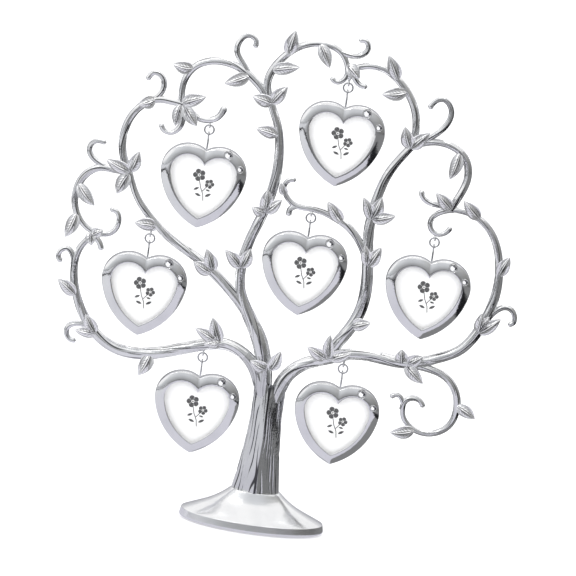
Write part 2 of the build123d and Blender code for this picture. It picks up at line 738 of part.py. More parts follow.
def crystals(tip):
    """Two cut crystals: a girdle below a sloping crown and a flat table."""
    with BuildPart() as crystal_part:
        for middle, size in crystal_places(tip):
            girdle = size - 2 * crystal_clearance
            top = setting_floor + crystal_girdle
            extrude(disc(middle, girdle, setting_floor), amount=crystal_girdle)
            crown_top = disc(middle, girdle * crystal_table_share, top + crystal_crown)
            loft(sections=[disc(middle, girdle, top), crown_top], ruled=True)
    return crystal_part


def hanger(tip):
    """Eye pin: an eye round the ring's foot and a stem down into the heart's cleft."""
    with BuildPart() as hanger_part:
        middle = tip + Vector(0, 0, ring_to_tip - ring_size / 2 + ring_wire / 2)
        eye(middle, -eye_hole / 2 - eye_wall, eye_thickness)
        cleft = tip + Vector(0, 0, heart_half_points(0)[0][1])
        stem_foot = cleft - Vector(0, 0, hanger_seat_depth)
        stem_top = middle - Vector(0, 0, eye_hole / 2 + eye_wall / 2)
        with BuildSketch(Plane(origin=stem_foot, z_dir=(0, 0, 1))) as stem:
            RegularPolygon(hanger_stem / 2, vine_sides)
        extrude(stem.sketch, amount=stem_top.Z - stem_foot.Z)
    return hanger_part


def jump_ring(middle):
    """Jump ring, face on to the front, with a round bore and short flats round its outside."""
    with BuildPart() as ring_part:
        face_plane = Plane(origin=middle - Vector(0, ring_wire / 2, 0), x_dir=(1, 0, 0), z_dir=(0, -1, 0))
        with BuildSketch(face_plane) as face:
            RegularPolygon(ring_size / 2, ring_sides, major_radius=False, rotation=180 / ring_sides)
            Circle(ring_size / 2 - ring_wire, mode=Mode.SUBTRACT)
        extrude(face.sketch, amount=-ring_wire)
        outer_edges = ring_part.edges().filter_by(GeomType.LINE).filter_by(Axis.Y, reverse=True)
        chamfer(outer_edges, ring_bevel)
    return ring_part


def hung(piece, ring_share):
    """Copy of one of the heart's pieces at the place of its ring."""
    with BuildPart() as copy:
        with Locations(tree_point(ring_share)):
            add(piece.part)
    return copy


def keep(piece, name):
    """Labels a finished piece and writes it under its name."""
    piece.part.label = name
    export_step(piece.part, f"parts/{name}.step")


os.makedirs("parts", exist_ok=True)

keep(foot(), "foot")
keep(felt(), "felt_pad")
keep(screw(), "foot_screw")
keep(trunk(), "trunk")
keep(left_bough(), "left_bough")
keep(forked_limb(), "forked_limb")
keep(left_arches(), "left_arches")
keep(top_arch(), "top_arch")
keep(right_bough(), "right_bough")
keep(right_limb(), "right_limb")
keep(outer_limb(), "outer_limb")

heart_tip = Vector(0, 0, -ring_to_tip)
heart_pieces = {
    "ring": jump_ring(Vector(0, 0, 0)),
    "hanger": hanger(heart_tip),
    "bezel": bezel(heart_tip),
    "pane": pane(heart_tip),
    "photo_card": photo_card(heart_tip),
    "back_cover": back_cover(heart_tip),
    "crystals": crystals(heart_tip),
}
for place, ring_share in ring_shares.items():
    for piece_name, piece in heart_pieces.items():
        keep(hung(piece, ring_share), f"{place}_{piece_name}")
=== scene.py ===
"""Looks of a silver photo tree: bark, leaves, heart frames, crystals, prints and the studio round them.

Points of the crown are in thousandths of its width and of the tree's height, which are WIDTH_STEP and
HEIGHT_STEP in millimetres. Other sizes are in millimetres too, but for finishes and the studio in metres.
"""

import logging
import math
from collections.abc import Callable, Iterable, Sequence
from dataclasses import dataclass, field, replace
from enum import Enum

import bpy
import numpy as np
from mathutils import Matrix, Vector


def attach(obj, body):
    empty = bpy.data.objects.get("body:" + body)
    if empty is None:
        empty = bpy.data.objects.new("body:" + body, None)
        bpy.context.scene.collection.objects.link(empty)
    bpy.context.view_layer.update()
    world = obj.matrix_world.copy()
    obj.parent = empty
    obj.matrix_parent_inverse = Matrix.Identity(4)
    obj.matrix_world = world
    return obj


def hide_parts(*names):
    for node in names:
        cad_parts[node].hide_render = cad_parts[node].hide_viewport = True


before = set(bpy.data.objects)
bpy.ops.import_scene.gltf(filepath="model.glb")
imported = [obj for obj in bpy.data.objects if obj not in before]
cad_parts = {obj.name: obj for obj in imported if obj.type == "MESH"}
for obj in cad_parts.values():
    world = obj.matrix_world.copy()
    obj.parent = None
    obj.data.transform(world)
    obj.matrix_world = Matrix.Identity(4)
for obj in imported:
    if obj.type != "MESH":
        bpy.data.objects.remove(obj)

LOG = logging.getLogger("photo_tree")
MM = 0.001
WIDTH_STEP = 0.208
HEIGHT_STEP = 0.230
Pair = tuple[float, float]
Triple = tuple[float, float, float]
Colour = tuple[float, float, float, float]


# Shader maths


def operator(operation: str, swapped: bool = False) -> Callable[..., "Value"]:
    """Method that does a sum on a Value with one Math node.

    Args:
        operation: The node's operation.
        swapped: Whether the Value is the second operand.

    Returns:
        The method.
    """

    def result(value: "Value", *others: "Value | float") -> "Value":
        """Result of the sum."""
        operands = (*others, value) if swapped else (value, *others)
        return value.shade.math(operation, *operands)

    return result


class Value:
    """One socket of a material's nodes, so that sums on it add Math nodes."""

    def __init__(self, shade: "Shade", socket: bpy.types.NodeSocket) -> None:
        """Keeps the socket and the nodes that it belongs to."""
        self.shade = shade
        self.socket = socket

    __add__ = __radd__ = operator("ADD")
    __sub__ = operator("SUBTRACT")
    __rsub__ = operator("SUBTRACT", swapped=True)
    __mul__ = __rmul__ = operator("MULTIPLY")
    __truediv__ = operator("DIVIDE")
    __pow__ = operator("POWER")
    __lt__ = operator("LESS_THAN")
    __gt__ = operator("GREATER_THAN")
    __abs__ = operator("ABSOLUTE")

    def clamp(self) -> "Value":
        """Value held between 0 and 1."""
        return self.shade.math("MINIMUM", self.shade.math("MAXIMUM", self, 0.0), 1.0)

    def ramp(self, low: float, high: float) -> "Value":
        """Smooth step from 0 at low to 1 at high."""
        share = ((self - low) / (high - low)).clamp()
        return share * share * (3.0 - 2.0 * share)


class Shade:
    """Nodes of one material or world, with short ways to add to them."""

    def __init__(self, owner: bpy.types.Material | bpy.types.World) -> None:
        """Starts with no nodes.

        Args:
            owner: The material or world that the nodes are for.
        """
        owner.use_nodes = True
        self.tree = owner.node_tree
        self.tree.nodes.clear()

    def node(
        self,
        kind: str,
        settings: dict[str, object] | None = None,
        inputs: dict[str | int, object] | None = None,
        output: str | int | None = 0,
    ) -> "Value | bpy.types.Node":
        """Adds a node of any type.

        Args:
            kind: The node's type.
            settings: The node's own settings, set first.
            inputs: Values or links of its sockets, by name or number.
            output: Name or number of the output to return, or None for the node itself.

        Returns:
            The chosen output as a Value, or the node.
        """
        made = self.tree.nodes.new(kind)
        for name, setting in (settings or {}).items():
            setattr(made, name, setting)
        for name, given in (inputs or {}).items():
            if isinstance(given, Value):
                self.tree.links.new(given.socket, made.inputs[name])
            else:
                made.inputs[name].default_value = given
        return made if output is None else Value(self, made.outputs[output])

    def math(self, operation: str, *operands: "Value | float") -> Value:
        """One Math node."""
        return self.node("ShaderNodeMath", {"operation": operation}, dict(enumerate(operands)))

    def place(self) -> Value:
        """Position on the piece, in metres, which moves with the piece."""
        return self.node("ShaderNodeTexCoord", output="Object")

    def groove(self) -> Value:
        """Groove value of the mesh, from 0 to 1: tarnish in grooves, painted shade over the trunk's head,
        painted reflection on crystal facets.
        """
        return self.node("ShaderNodeAttribute", {"attribute_name": "groove"}, output="Fac")

    def ray(self, kind: str) -> Value:
        """One where a ray is of the kind, such as Is Camera Ray."""
        return self.node("ShaderNodeLightPath", output=kind)

    def parts(self, vector: Value) -> tuple[Value, Value, Value]:
        """Three components of a vector."""
        split = self.node("ShaderNodeSeparateXYZ", inputs={0: vector}, output=None)
        return tuple(Value(self, split.outputs[index]) for index in range(3))

    def noise(self, grains: float, detail: float = 2.0, stretch: Triple | None = None) -> Value:
        """Noise over the piece.

        Args:
            grains: Grains per metre.
            detail: Octaves of finer grain.
            stretch: Scales of the three axes, where the grain isn't round.

        Returns:
            The noise, from 0 to 1.
        """
        where = self.place()
        if stretch:
            where = self.node("ShaderNodeMapping", inputs={"Vector": where, "Scale": stretch})
        return self.node("ShaderNodeTexNoise", inputs={"Vector": where, "Scale": grains, "Detail": detail})

    def blend(self, share: Value | float, low: Value | Colour, high: Value | Colour) -> Value:
        """Colour between two others, the first where the share is 0."""
        return self.node("ShaderNodeMix", {"data_type": "RGBA"}, {0: share, 6: low, 7: high}, output=2)

    def bump(self, height: Value, distance: float) -> Value:
        """Normal of a fine relief, as deep as the distance in metres."""
        return self.node("ShaderNodeBump", inputs={"Strength": 1.0, "Distance": distance, "Height": height})

    def surface(self, inputs: dict[str, object]) -> Value:
        """Principled shader with these inputs."""
        return self.node("ShaderNodeBsdfPrincipled", inputs=inputs)

    def glow(self, colour: Value) -> Value:
        """Shader that shows a colour as it is."""
        return self.node("ShaderNodeEmission", inputs={"Color": colour, "Strength": 1.0})

    def finish(self, shader: Value, output: str = "ShaderNodeOutputMaterial") -> None:
        """Links a shader to the output."""
        self.node(output, inputs={"Surface": shader}, output=None)


def rgb(red: float, green: float, blue: float) -> Colour:
    """Opaque colour."""
    return (red, green, blue, 1.0)


BLACK, NEAR_BLACK, WHITE = rgb(0.0, 0.0, 0.0), rgb(0.012, 0.012, 0.014), rgb(1.0, 1.0, 1.0)


# Finishes


@dataclass(frozen=True)
class Finish:
    """A named procedural material."""

    name: str

    def shader(self, shade: Shade) -> Value:
        """Shader of the finish.

        Args:
            shade: The nodes to add to.

        Returns:
            The surface shader.
        """
        raise NotImplementedError

    def material(self) -> bpy.types.Material:
        """The material, made once.

        Returns:
            The material of this name.
        """
        found = bpy.data.materials.get(self.name)
        if found:
            return found
        made = bpy.data.materials.new(self.name)
        shade = Shade(made)
        shade.finish(self.shader(shade))
        return made


@dataclass(frozen=True)
class Silver(Finish):
    """Polished silver plate, a little cloudy, with darker metal in its grooves."""

    colour: Colour = rgb(0.92, 0.922, 0.93)
    dull: Colour = rgb(0.70, 0.71, 0.73)
    # Tarnish in grooves, and also the colour of painted shade where a groove value paints it, as over the
    # trunk's head.
    tarnish_and_painted_shade: Colour = rgb(0.045, 0.047, 0.052)
    roughness: float = 0.06
    ripple: float = 0.00002
    metal: float = 1.0
    grooved: bool = False
    cloud_grains: float = 90.0
    cloud_edges: Pair = (-0.15, 0.25)
    cloud_share: float = 0.35
    cloud_roughness: float = 0.05
    groove_edges: Pair = (0.15, 0.65)
    groove_share: float = 0.95
    groove_roughness: float = 0.16
    ripple_grains: float = 900.0

    def shader(self, shade: Shade) -> Value:
        """Metal with cloudy wear, fine ripple and, where asked, darker metal by the groove value: tarnish in
        real grooves, painted shade over the trunk's head.

        Args:
            shade: The nodes to add to.

        Returns:
            The surface shader.
        """
        cloud = shade.noise(self.cloud_grains, 3.0)
        tint = shade.blend((cloud - 0.5).ramp(*self.cloud_edges) * self.cloud_share, self.colour, self.dull)
        rough = self.roughness + cloud * self.cloud_roughness
        if self.grooved:
            groove = shade.groove()
            tint = shade.blend(groove.ramp(*self.groove_edges) * self.groove_share, tint, self.tarnish_and_painted_shade)
            rough = rough + groove * self.groove_roughness
        relief = shade.bump(shade.noise(self.ripple_grains), self.ripple)
        inputs = {"Base Color": tint, "Metallic": self.metal, "Roughness": rough, "Normal": relief}
        return shade.surface(inputs)


@dataclass(frozen=True)
class Pane(Finish):
    """Thin clear pane that keeps a faint mirror image."""

    clean: Colour = rgb(0.92, 0.92, 0.92)
    smeared: Colour = rgb(0.86, 0.87, 0.87)
    smear_grains: float = 120.0
    roughness: float = 0.02
    refraction: float = 1.45
    cover: float = 0.03

    def shader(self, shade: Shade) -> Value:
        """Clear sheet with a faint smear."""
        tint = shade.blend(shade.noise(self.smear_grains), self.clean, self.smeared)
        return shade.surface(
            {"Base Color": tint, "Roughness": self.roughness, "IOR": self.refraction, "Alpha": self.cover}
        )


@dataclass(frozen=True)
class Crystal(Finish):
    """Bright cut crystal on a foil back, its glints and dark reflections painted as white and black facets.
    """

    # Painted reflection: the white facets stand in for glints, the black ones (dark) for dark reflections.
    painted_glint: Colour = rgb(0.93, 0.94, 0.97)
    dark: Colour = rgb(0.03, 0.03, 0.04)
    speck_grains: float = 900.0
    roughness: float = 0.04
    speck_roughness: float = 0.04

    def shader(self, shade: Shade) -> Value:
        """Facets painted light and dark in turn: painted glints and painted dark reflections.

        Args:
            shade: The nodes to add to.

        Returns:
            The surface shader.
        """
        rough = self.roughness + shade.noise(self.speck_grains, 1.0) * self.speck_roughness
        # Painted reflection: the groove value picks each facet's white or black base colour.
        tint = shade.blend(shade.groove(), self.painted_glint, self.dark)
        return shade.surface({"Base Color": tint, "Roughness": rough, "Coat Weight": 1.0})


@dataclass(frozen=True)
class Print(Finish):
    """White card with a grey sprig of five-petalled flowers, in millimetres from the heart's tip.

    A flower is its middle and size, a stem its two ends, and a leaf its middle, length and slope.
    """

    paper: Colour = rgb(0.98, 0.98, 0.98)
    paper_shade: Colour = rgb(0.94, 0.94, 0.945)
    ink: Colour = rgb(0.05, 0.05, 0.053)
    flowers: tuple[Triple, ...] = ((-1.7, 23.9, 2.9), (3.3, 20.4, 2.2))
    stems: tuple[tuple[Pair, Pair], ...] = (
        ((-1.4, 21.8), (-0.5, 18.4)), ((-0.5, 18.4), (0.9, 15.4)),
        ((0.9, 15.4), (1.3, 12.6)), ((2.4, 19.2), (0.4, 16.6)),
    )
    leaves: tuple[tuple[float, float, float, float], ...] = (
        (-2.3, 17.6, 1.5, 0.5), (-1.3, 14.9, 1.6, -0.35), (3.2, 15.2, 1.7, 0.55), (2.9, 17.4, 1.2, -0.2),
    )
    petals: int = 5
    notch: float = 0.34
    petal_power: float = 0.6
    petal_gap: float = 0.07
    gap_foot: float = 0.3
    eye: Pair = (0.13, 0.24)
    stem_reach: float = 0.19
    leaf_bow: float = 0.42
    leaf_reach: float = 0.36
    fibre_grains: float = 2500.0
    fibre_share: float = 0.25
    fibre_relief: float = 0.00001

    def _flower(self, shade: Shade, across: Value, up: Value, place: Triple) -> Value:
        """Ink of one flower: notched petals round a pale eye.

        Args:
            shade: The nodes to add to.
            across: Place across the card.
            up: Place up the card.
            place: The flower's middle and size.

        Returns:
            One where there is ink.
        """
        side, rise, size = place
        x, z = across - side, up - rise
        reach = shade.math("SQRT", x * x + z * z)
        wave = abs(shade.math("COSINE", shade.math("ARCTAN2", z, x) * (self.petals / 2) + side))
        petals = reach < size * (1.0 - self.notch + self.notch * wave ** self.petal_power)
        gaps = (wave < self.petal_gap) * (reach > size * self.gap_foot)
        inner, outer = self.eye
        eye = (reach < size * outer) * (reach > size * inner)
        return petals * (1.0 - gaps) * (1.0 - eye)

    def _stem(self, shade: Shade, across: Value, up: Value, ends: tuple[Pair, Pair]) -> Value:
        """Ink of one straight run of stem.

        Args:
            shade: The nodes to add to.
            across: Place across the card.
            up: Place up the card.
            ends: The run's two ends.

        Returns:
            One where there is ink.
        """
        (x0, z0), (x1, z1) = ends
        run_x, run_z = x1 - x0, z1 - z0
        x, z = across - x0, up - z0
        along = ((x * run_x + z * run_z) / (run_x ** 2 + run_z ** 2)).clamp()
        off_x, off_z = x - along * run_x, z - along * run_z
        return shade.math("SQRT", off_x * off_x + off_z * off_z) < self.stem_reach

    def _leaf(self, across: Value, up: Value, place: tuple[float, float, float, float]) -> Value:
        """Ink of one pointed leaf, the lens between two arcs.

        Args:
            across: Place across the card.
            up: Place up the card.
            place: The leaf's middle, length and slope.

        Returns:
            One where there is ink.
        """
        side, rise, size, slope = place
        x, z = across - side, up - rise
        along = (x * math.cos(slope) + z * math.sin(slope)) / size
        off = (z * math.cos(slope) - x * math.sin(slope)) / size
        return (abs(off) + along * along * self.leaf_bow) < self.leaf_reach

    def shader(self, shade: Shade) -> Value:
        """Satin card under the ink.

        Args:
            shade: The nodes to add to.

        Returns:
            The surface shader.
        """
        across, _, up = shade.parts(shade.place())
        across, up = across / MM, up / MM
        marks = [self._flower(shade, across, up, flower) for flower in self.flowers]
        marks += [self._stem(shade, across, up, stem) for stem in self.stems]
        marks += [self._leaf(across, up, leaf) for leaf in self.leaves]
        fibre = shade.noise(self.fibre_grains)
        paper = shade.blend(fibre * self.fibre_share, self.paper, self.paper_shade)
        return shade.surface(
            {
                "Base Color": shade.blend(sum(marks).clamp(), paper, self.ink),
                "Roughness": 0.6 + fibre * 0.1,
                "Specular IOR Level": 0.15,
                "Normal": shade.bump(fibre, self.fibre_relief),
            }
        )


@dataclass(frozen=True)
class Grained(Finish):
    """Surface of one fine grain: moulded plastic, felt or turned steel."""

    dark: Colour
    pale: Colour
    grains: float
    detail: float
    relief: float
    roughness: float
    grain_roughness: float = 0.0
    metal: float = 0.0
    sheen: float = 0.0
    stretch: Triple | None = None

    def shader(self, shade: Shade) -> Value:
        """Two tones, a fine relief and, where asked, a roughness that follows the grain.

        Args:
            shade: The nodes to add to.

        Returns:
            The surface shader.
        """
        grain = shade.noise(self.grains, self.detail, self.stretch)
        rough = self.roughness + grain * self.grain_roughness if self.grain_roughness else self.roughness
        return shade.surface(
            {
                "Base Color": shade.blend(grain, self.dark, self.pale),
                "Metallic": self.metal,
                "Roughness": rough,
                "Sheen Weight": self.sheen,
                "Normal": shade.bump(grain, self.relief),
            }
        )


FOOT_PLATE = Silver("silver_foot", roughness=0.15)
FRAME_PLATE = Silver("silver_frame", roughness=0.07, grooved=True)
# Painted shade: the wire's silver is a darker copy of the plate's, for the darker look of the thin wires.
SHADED_WIRE = Silver("silver_wire", colour=rgb(0.66, 0.665, 0.68), roughness=0.12)
BARK = Silver("silver_bark", colour=rgb(0.95, 0.955, 0.96), roughness=0.08, ripple=0.00004, grooved=True)
# Painted shade: the trunk's silver is a darker copy of the bark's, for the darker look that its reflections
# give it.
SHADED_TRUNK_BARK = replace(BARK, name="silver_trunk", colour=rgb(0.79, 0.795, 0.80), dull=rgb(0.60, 0.61, 0.62))
LEAF = replace(
    BARK, name="silver_leaf", colour=rgb(0.97, 0.97, 0.98), roughness=0.09, ripple=0.00003, metal=0.87
)
PANE = Pane("heart_pane")
CRYSTAL = Crystal("cut_crystal")
PRINT = Print("sprig_print")
PLASTIC = Grained(
    "moulded_back", rgb(0.035, 0.035, 0.038), rgb(0.06, 0.06, 0.064), grains=1800.0, detail=3.0,
    relief=0.00006, roughness=0.5, grain_roughness=0.15,
)
FELT = Grained(
    "black_felt", rgb(0.02, 0.02, 0.022), rgb(0.075, 0.075, 0.08), grains=1400.0, detail=5.0, relief=0.0003,
    roughness=0.95, sheen=0.4,
)
STEEL = Grained(
    "screw_steel", rgb(0.5, 0.5, 0.52), rgb(0.66, 0.66, 0.68), grains=600.0, detail=2.0, relief=0.00003,
    roughness=0.25, grain_roughness=0.15, metal=1.0, stretch=(1.0, 1.0, 8.0),
)


# Mesh helpers


def added(name: str, data: bpy.types.ID) -> bpy.types.Object:
    """New object, put in the scene.

    Args:
        name: Its name.
        data: Its mesh, camera or lamp.

    Returns:
        The object.
    """
    made = bpy.data.objects.new(name, data)
    bpy.context.scene.collection.objects.link(made)
    return made


def dress(node: str, finish: Finish) -> None:
    """Gives a carried-over node its finish.

    Args:
        node: The node's name.
        finish: Its finish.
    """
    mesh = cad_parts[node].data
    mesh.materials.clear()
    mesh.materials.append(finish.material())


class Sheets:
    """Collects grids of points into one mesh with a groove value at each point."""

    def __init__(self) -> None:
        """Starts empty."""
        self.points: list[np.ndarray] = []
        self.faces: list[tuple[int, ...]] = []
        self.grooves: list[np.ndarray] = []
        self.count = 0

    def grid(
        self,
        points: np.ndarray,
        grooves: np.ndarray | None = None,
        round_across: bool = True,
        cap_first: bool = True,
        cap_last: bool = True,
    ) -> None:
        """Adds a grid of faces, at first a closed tube with both ends capped.

        Args:
            points: Rows by columns by 3, in millimetres.
            grooves: Rows by columns, 1 at the bottom of a groove, or where shade or a dark crystal facet is
                painted.
            round_across: Whether the last column joins the first.
            cap_first: Whether one face closes the first row.
            cap_last: Whether one face closes the last row.
        """
        rows, columns = points.shape[:2]
        base = self.count
        self.points.append(points.reshape(-1, 3))
        self.grooves.append(np.zeros(rows * columns) if grooves is None else grooves.reshape(-1))
        self.count += rows * columns
        across = columns if round_across else columns - 1
        for row in range(rows - 1):
            for column in range(across):
                here = base + row * columns + column
                beside = base + row * columns + (column + 1) % columns
                self.faces.append((here, beside, beside + columns, here + columns))
        if cap_first:
            self.faces.append(tuple(base + column for column in reversed(range(columns))))
        if cap_last:
            last = base + (rows - 1) * columns
            self.faces.append(tuple(last + column for column in range(columns)))

    def sheet(self, points: np.ndarray, grooves: np.ndarray | None = None, round_across: bool = True) -> None:
        """Adds a grid of faces that no cap closes."""
        self.grid(points, grooves, round_across, cap_first=False, cap_last=False)

    def piece(self, name: str, finish: Finish, slot: str, sharp: float | None = None) -> bpy.types.Object:
        """Makes the piece.

        Args:
            name: Its name.
            finish: Its finish.
            slot: The record's material slot; not used.
            sharp: Angle in degrees above which an edge stays sharp.

        Returns:
            The new object, not yet riding on a body.
        """
        mesh = bpy.data.meshes.new(name)
        mesh.from_pydata((np.concatenate(self.points) * MM).tolist(), [], self.faces)
        marks = mesh.attributes.new("groove", "FLOAT", "POINT")
        marks.data.foreach_set("value", np.concatenate(self.grooves).astype(np.float32))
        mesh.polygons.foreach_set("use_smooth", [True] * len(mesh.polygons))
        mesh.materials.append(finish.material())
        mesh.update()
        if sharp is not None:
            mesh.set_sharp_from_angle(angle=math.radians(sharp))
        made = added(name, mesh)
        return made


def ring_sweep(
    line: np.ndarray, size: Sequence[float] | np.ndarray, normal: np.ndarray, side: np.ndarray, around: int
) -> np.ndarray:
    """Round or ridged wire along a line of points.

    Args:
        line: Points by 3.
        size: Radius at each point, or at each point and turn.
        normal: Points by 3, one direction across the wire.
        side: Points by 3, the other direction across it.
        around: Points round the wire.

    Returns:
        Rows by columns by 3 points.
    """
    turns = np.linspace(0, 2 * math.pi, around, endpoint=False)
    radius = np.asarray(size).reshape(len(line), -1, 1)
    return line[:, None, :] + radius * (
        np.cos(turns)[None, :, None] * normal[:, None, :] + np.sin(turns)[None, :, None] * side[:, None, :]
    )


def rod(line: Sequence[Triple], size: Sequence[float], around: int) -> np.ndarray:
    """Round rod that stands on points one above the other, with a radius at each."""
    across, side = (np.tile(axis, (len(line), 1)) for axis in ((1.0, 0.0, 0.0), (0.0, 1.0, 0.0)))
    return ring_sweep(np.array(line), size, across, side, around)


def torus(
    centre: Sequence[float], axis: str, reach: float, wire: float, around: int = 40, section: int = 14
) -> np.ndarray:
    """Closed ring of round wire.

    Args:
        centre: Its middle in millimetres.
        axis: "X" or "Y", the axis that it goes round.
        reach: Radius of the wire's centre line.
        wire: Radius of the wire.
        around: Points round the ring.
        section: Points round the wire.

    Returns:
        Rows by columns by 3 points, the last row on the first.
    """
    turns = np.linspace(0, 2 * math.pi, around + 1)
    zero = np.zeros_like(turns)
    flat = {"X": (zero, np.cos(turns), np.sin(turns)), "Y": (np.cos(turns), zero, np.sin(turns))}[axis]
    out = np.stack(flat, axis=1)
    across = np.zeros_like(out)
    across[:, 0 if axis == "X" else 1] = 1.0
    return ring_sweep(np.asarray(centre) + out * reach, [wire] * len(turns), out, across, section)


def circle(stone: Triple, radius: float, level: float, count: int, turn: float = 0.0) -> np.ndarray:
    """Upright ring of points round a stone.

    Args:
        stone: The stone's place across and up, and its size.
        radius: Radius in millimetres.
        level: Distance towards the front.
        count: Number of points.
        turn: Turn of the ring, in steps from point to point.

    Returns:
        Points by 3.
    """
    turns = (np.arange(count) + turn) * (2 * math.pi / count)
    return np.stack(
        (stone[0] + radius * np.cos(turns), np.full(count, -level), stone[1] + radius * np.sin(turns)), axis=1
    )


def lengths(points: np.ndarray) -> np.ndarray:
    """Length of a line up to each of its points."""
    return np.concatenate([[0.0], np.cumsum(np.linalg.norm(np.diff(points, axis=0), axis=1))])


def hump(value: np.ndarray, middle: np.ndarray | float, width: float) -> np.ndarray:
    """Round hump of height 1 about a middle."""
    return np.exp(-(((value - middle) / width) ** 2))


def smoothed(values: np.ndarray, weights: Sequence[float] | np.ndarray) -> np.ndarray:
    """Running mean of values with an odd number of weights."""
    kernel = np.array(weights) / np.sum(weights)
    return np.convolve(np.pad(values, len(kernel) // 2, mode="edge"), kernel, mode="valid")


# Boughs

RINGS = {
    "upper_left": (-205, 781),
    "top": (77, 901),
    "mid_left": (-301, 550),
    "centre": (37, 635),
    "right": (308, 621),
    "lower_left": (-153.5, 326.5),
    "lower_right": (152, 343),
}
LINE_STEP = 0.2
SKIN_STEP = 0.65
ROOT_LENGTH = 8.0
TIP_LENGTH_SHARE = 4.0
TIP_SWELL = 0.18
BARK_TWIST = 0.035
GROOVE_WIDTH = 0.15
SCRATCH_WIDTH = 0.08


class Bark(Enum):
    """Faces round a bough's bark, and the depth of the grooves between them as a share of its radius."""

    BOUGH = (7, 0.15)
    VINE = (6, 0.14)
    CURL = (5, 0.12)


@dataclass(frozen=True)
class Route:
    """A bough's line through points of the tree's middle plane, and its sizes along it."""

    points: tuple[Pair, ...]
    sizes: tuple[float, ...]
    bark: Bark = Bark.BOUGH
    first: float = 0.0
    last: float = 1.0
    tip: bool = False
    sunk: bool = False

    def part(self, first: float = 0.0, last: float = 1.0, tip: bool = False) -> "Route":
        """The same route between two shares of its length, with or without a round tip."""
        return replace(self, first=first, last=last, tip=tip)

    def _line(self) -> tuple[np.ndarray, np.ndarray]:
        """Dense smooth line through the points.

        Returns:
            Its points by 2, and the length up to each of them.
        """
        known = np.array(self.points) * (WIDTH_STEP, HEIGHT_STEP)
        chord = lengths(known)
        count, gap = len(known), np.diff(chord)
        system, right = np.eye(count), np.zeros((count, 2))
        for index in range(1, count - 1):
            system[index, index - 1:index + 2] = gap[index - 1], 2 * (gap[index - 1] + gap[index]), gap[index]
            rise = (known[index + 1] - known[index]) / gap[index]
            fall = (known[index] - known[index - 1]) / gap[index - 1]
            right[index] = 6 * (rise - fall)
        bend = np.linalg.solve(system, right)
        along = np.linspace(0, chord[-1], int(chord[-1] / LINE_STEP) + 8)
        span = np.clip(np.searchsorted(chord, along, side="right") - 1, 0, count - 2)
        width = gap[span][:, None]
        after = (along - chord[span])[:, None]
        before = width - after
        line = (
            (bend[span] * before ** 3 + bend[span + 1] * after ** 3) / (6 * width)
            + (known[span] / width - bend[span] * width / 6) * before
            + (known[span + 1] / width - bend[span + 1] * width / 6) * after
        )
        return line, lengths(line)

    def _bark(self, turn: np.ndarray, along: np.ndarray, taper: np.ndarray) -> tuple[np.ndarray, np.ndarray]:
        """Share of the radius and depth of groove at each point.

        The faces wander round the bough, with a groove between two of them and a scratch on some.

        Args:
            turn: Angle round the bough, one row.
            along: Millimetres along it, one column.
            taper: Share of the bark's depth that is left at each place, one column.

        Returns:
            Radius share and groove depth, both rows by columns.
        """
        faces, depth = self.bark.value
        seed = self.points[0][0] * 0.041 + self.points[-1][1] * 0.023
        slow, quick = np.sin(along / 8.3 + seed), np.sin(along / 3.1 + 2 * seed + turn)
        drift = BARK_TWIST * along + 0.22 * slow + 0.10 * quick
        spot = (turn + drift + 0.16 * np.sin(2 * turn + along / 11.0 + seed)) * faces / (2 * math.pi)
        off = np.abs(spot - np.floor(spot) - 0.5)
        flat = math.cos(math.pi / faces) / np.cos(off * 2 * math.pi / faces)
        patch = 0.5 + 0.5 * np.sin(along / 6.3 + 3 * turn + seed)
        groove = hump(off, 0.5, GROOVE_WIDTH) * (0.38 + 0.55 * patch)
        scratch = hump(off, 0.12 + 0.1 * patch, SCRATCH_WIDTH) * (1 - patch)
        share = 1.0 + (flat - 0.94 - depth * groove - 0.4 * depth * scratch) * taper
        return share, np.clip((0.95 * groove ** 1.5 + 0.5 * scratch) * taper, 0, 1)

    def add_to(self, sheets: Sheets, around: int = 60) -> None:
        """Adds the bough's skin.

        Args:
            sheets: The mesh under way.
            around: Points round the bough.
        """
        line, reach = self._line()
        total = reach[-1]
        start, end = self.first * total, self.last * total
        along = np.linspace(start, end, max(6, int((end - start) / SKIN_STEP)))
        centre, ahead, behind = (
            np.stack([np.interp(along + shift, reach, line[:, axis]) for axis in (0, 1)], axis=1)
            for shift in (0.0, LINE_STEP, -LINE_STEP)
        )
        run = ahead - behind
        run /= np.linalg.norm(run, axis=1)[:, None]
        radius = np.interp(along / total, np.linspace(0, 1, len(self.sizes)), self.sizes) / 2
        taper = np.ones_like(along)
        if self.sunk:
            radius = radius * (0.5 + 0.5 * np.clip((along - start) / ROOT_LENGTH, 0, 1) ** 0.6)
        if self.tip:
            left = end - along
            swell = np.clip(1 - left / (radius[-1] * TIP_LENGTH_SHARE), 0, 1)
            close = np.sqrt(np.clip(1 - np.clip(1 - left / radius[-1], 0, 1) ** 2, 0.0004, 1))
            radius = radius * (1 + TIP_SWELL * swell) * close
            taper = np.clip(left / (radius[0] * TIP_LENGTH_SHARE), 0, 1)
        zero = np.zeros(len(run))
        normal = np.stack([-run[:, 1], zero, run[:, 0]], axis=1)
        middle = np.stack([centre[:, 0], zero, centre[:, 1]], axis=1)
        side = np.tile((0.0, 1.0, 0.0), (len(run), 1))
        turns = np.linspace(0, 2 * math.pi, around, endpoint=False)
        share, groove = self._bark(turns[None, :], along[:, None], taper[:, None])
        sheets.grid(ring_sweep(middle, radius[:, None] * share, normal, side, around), groove)


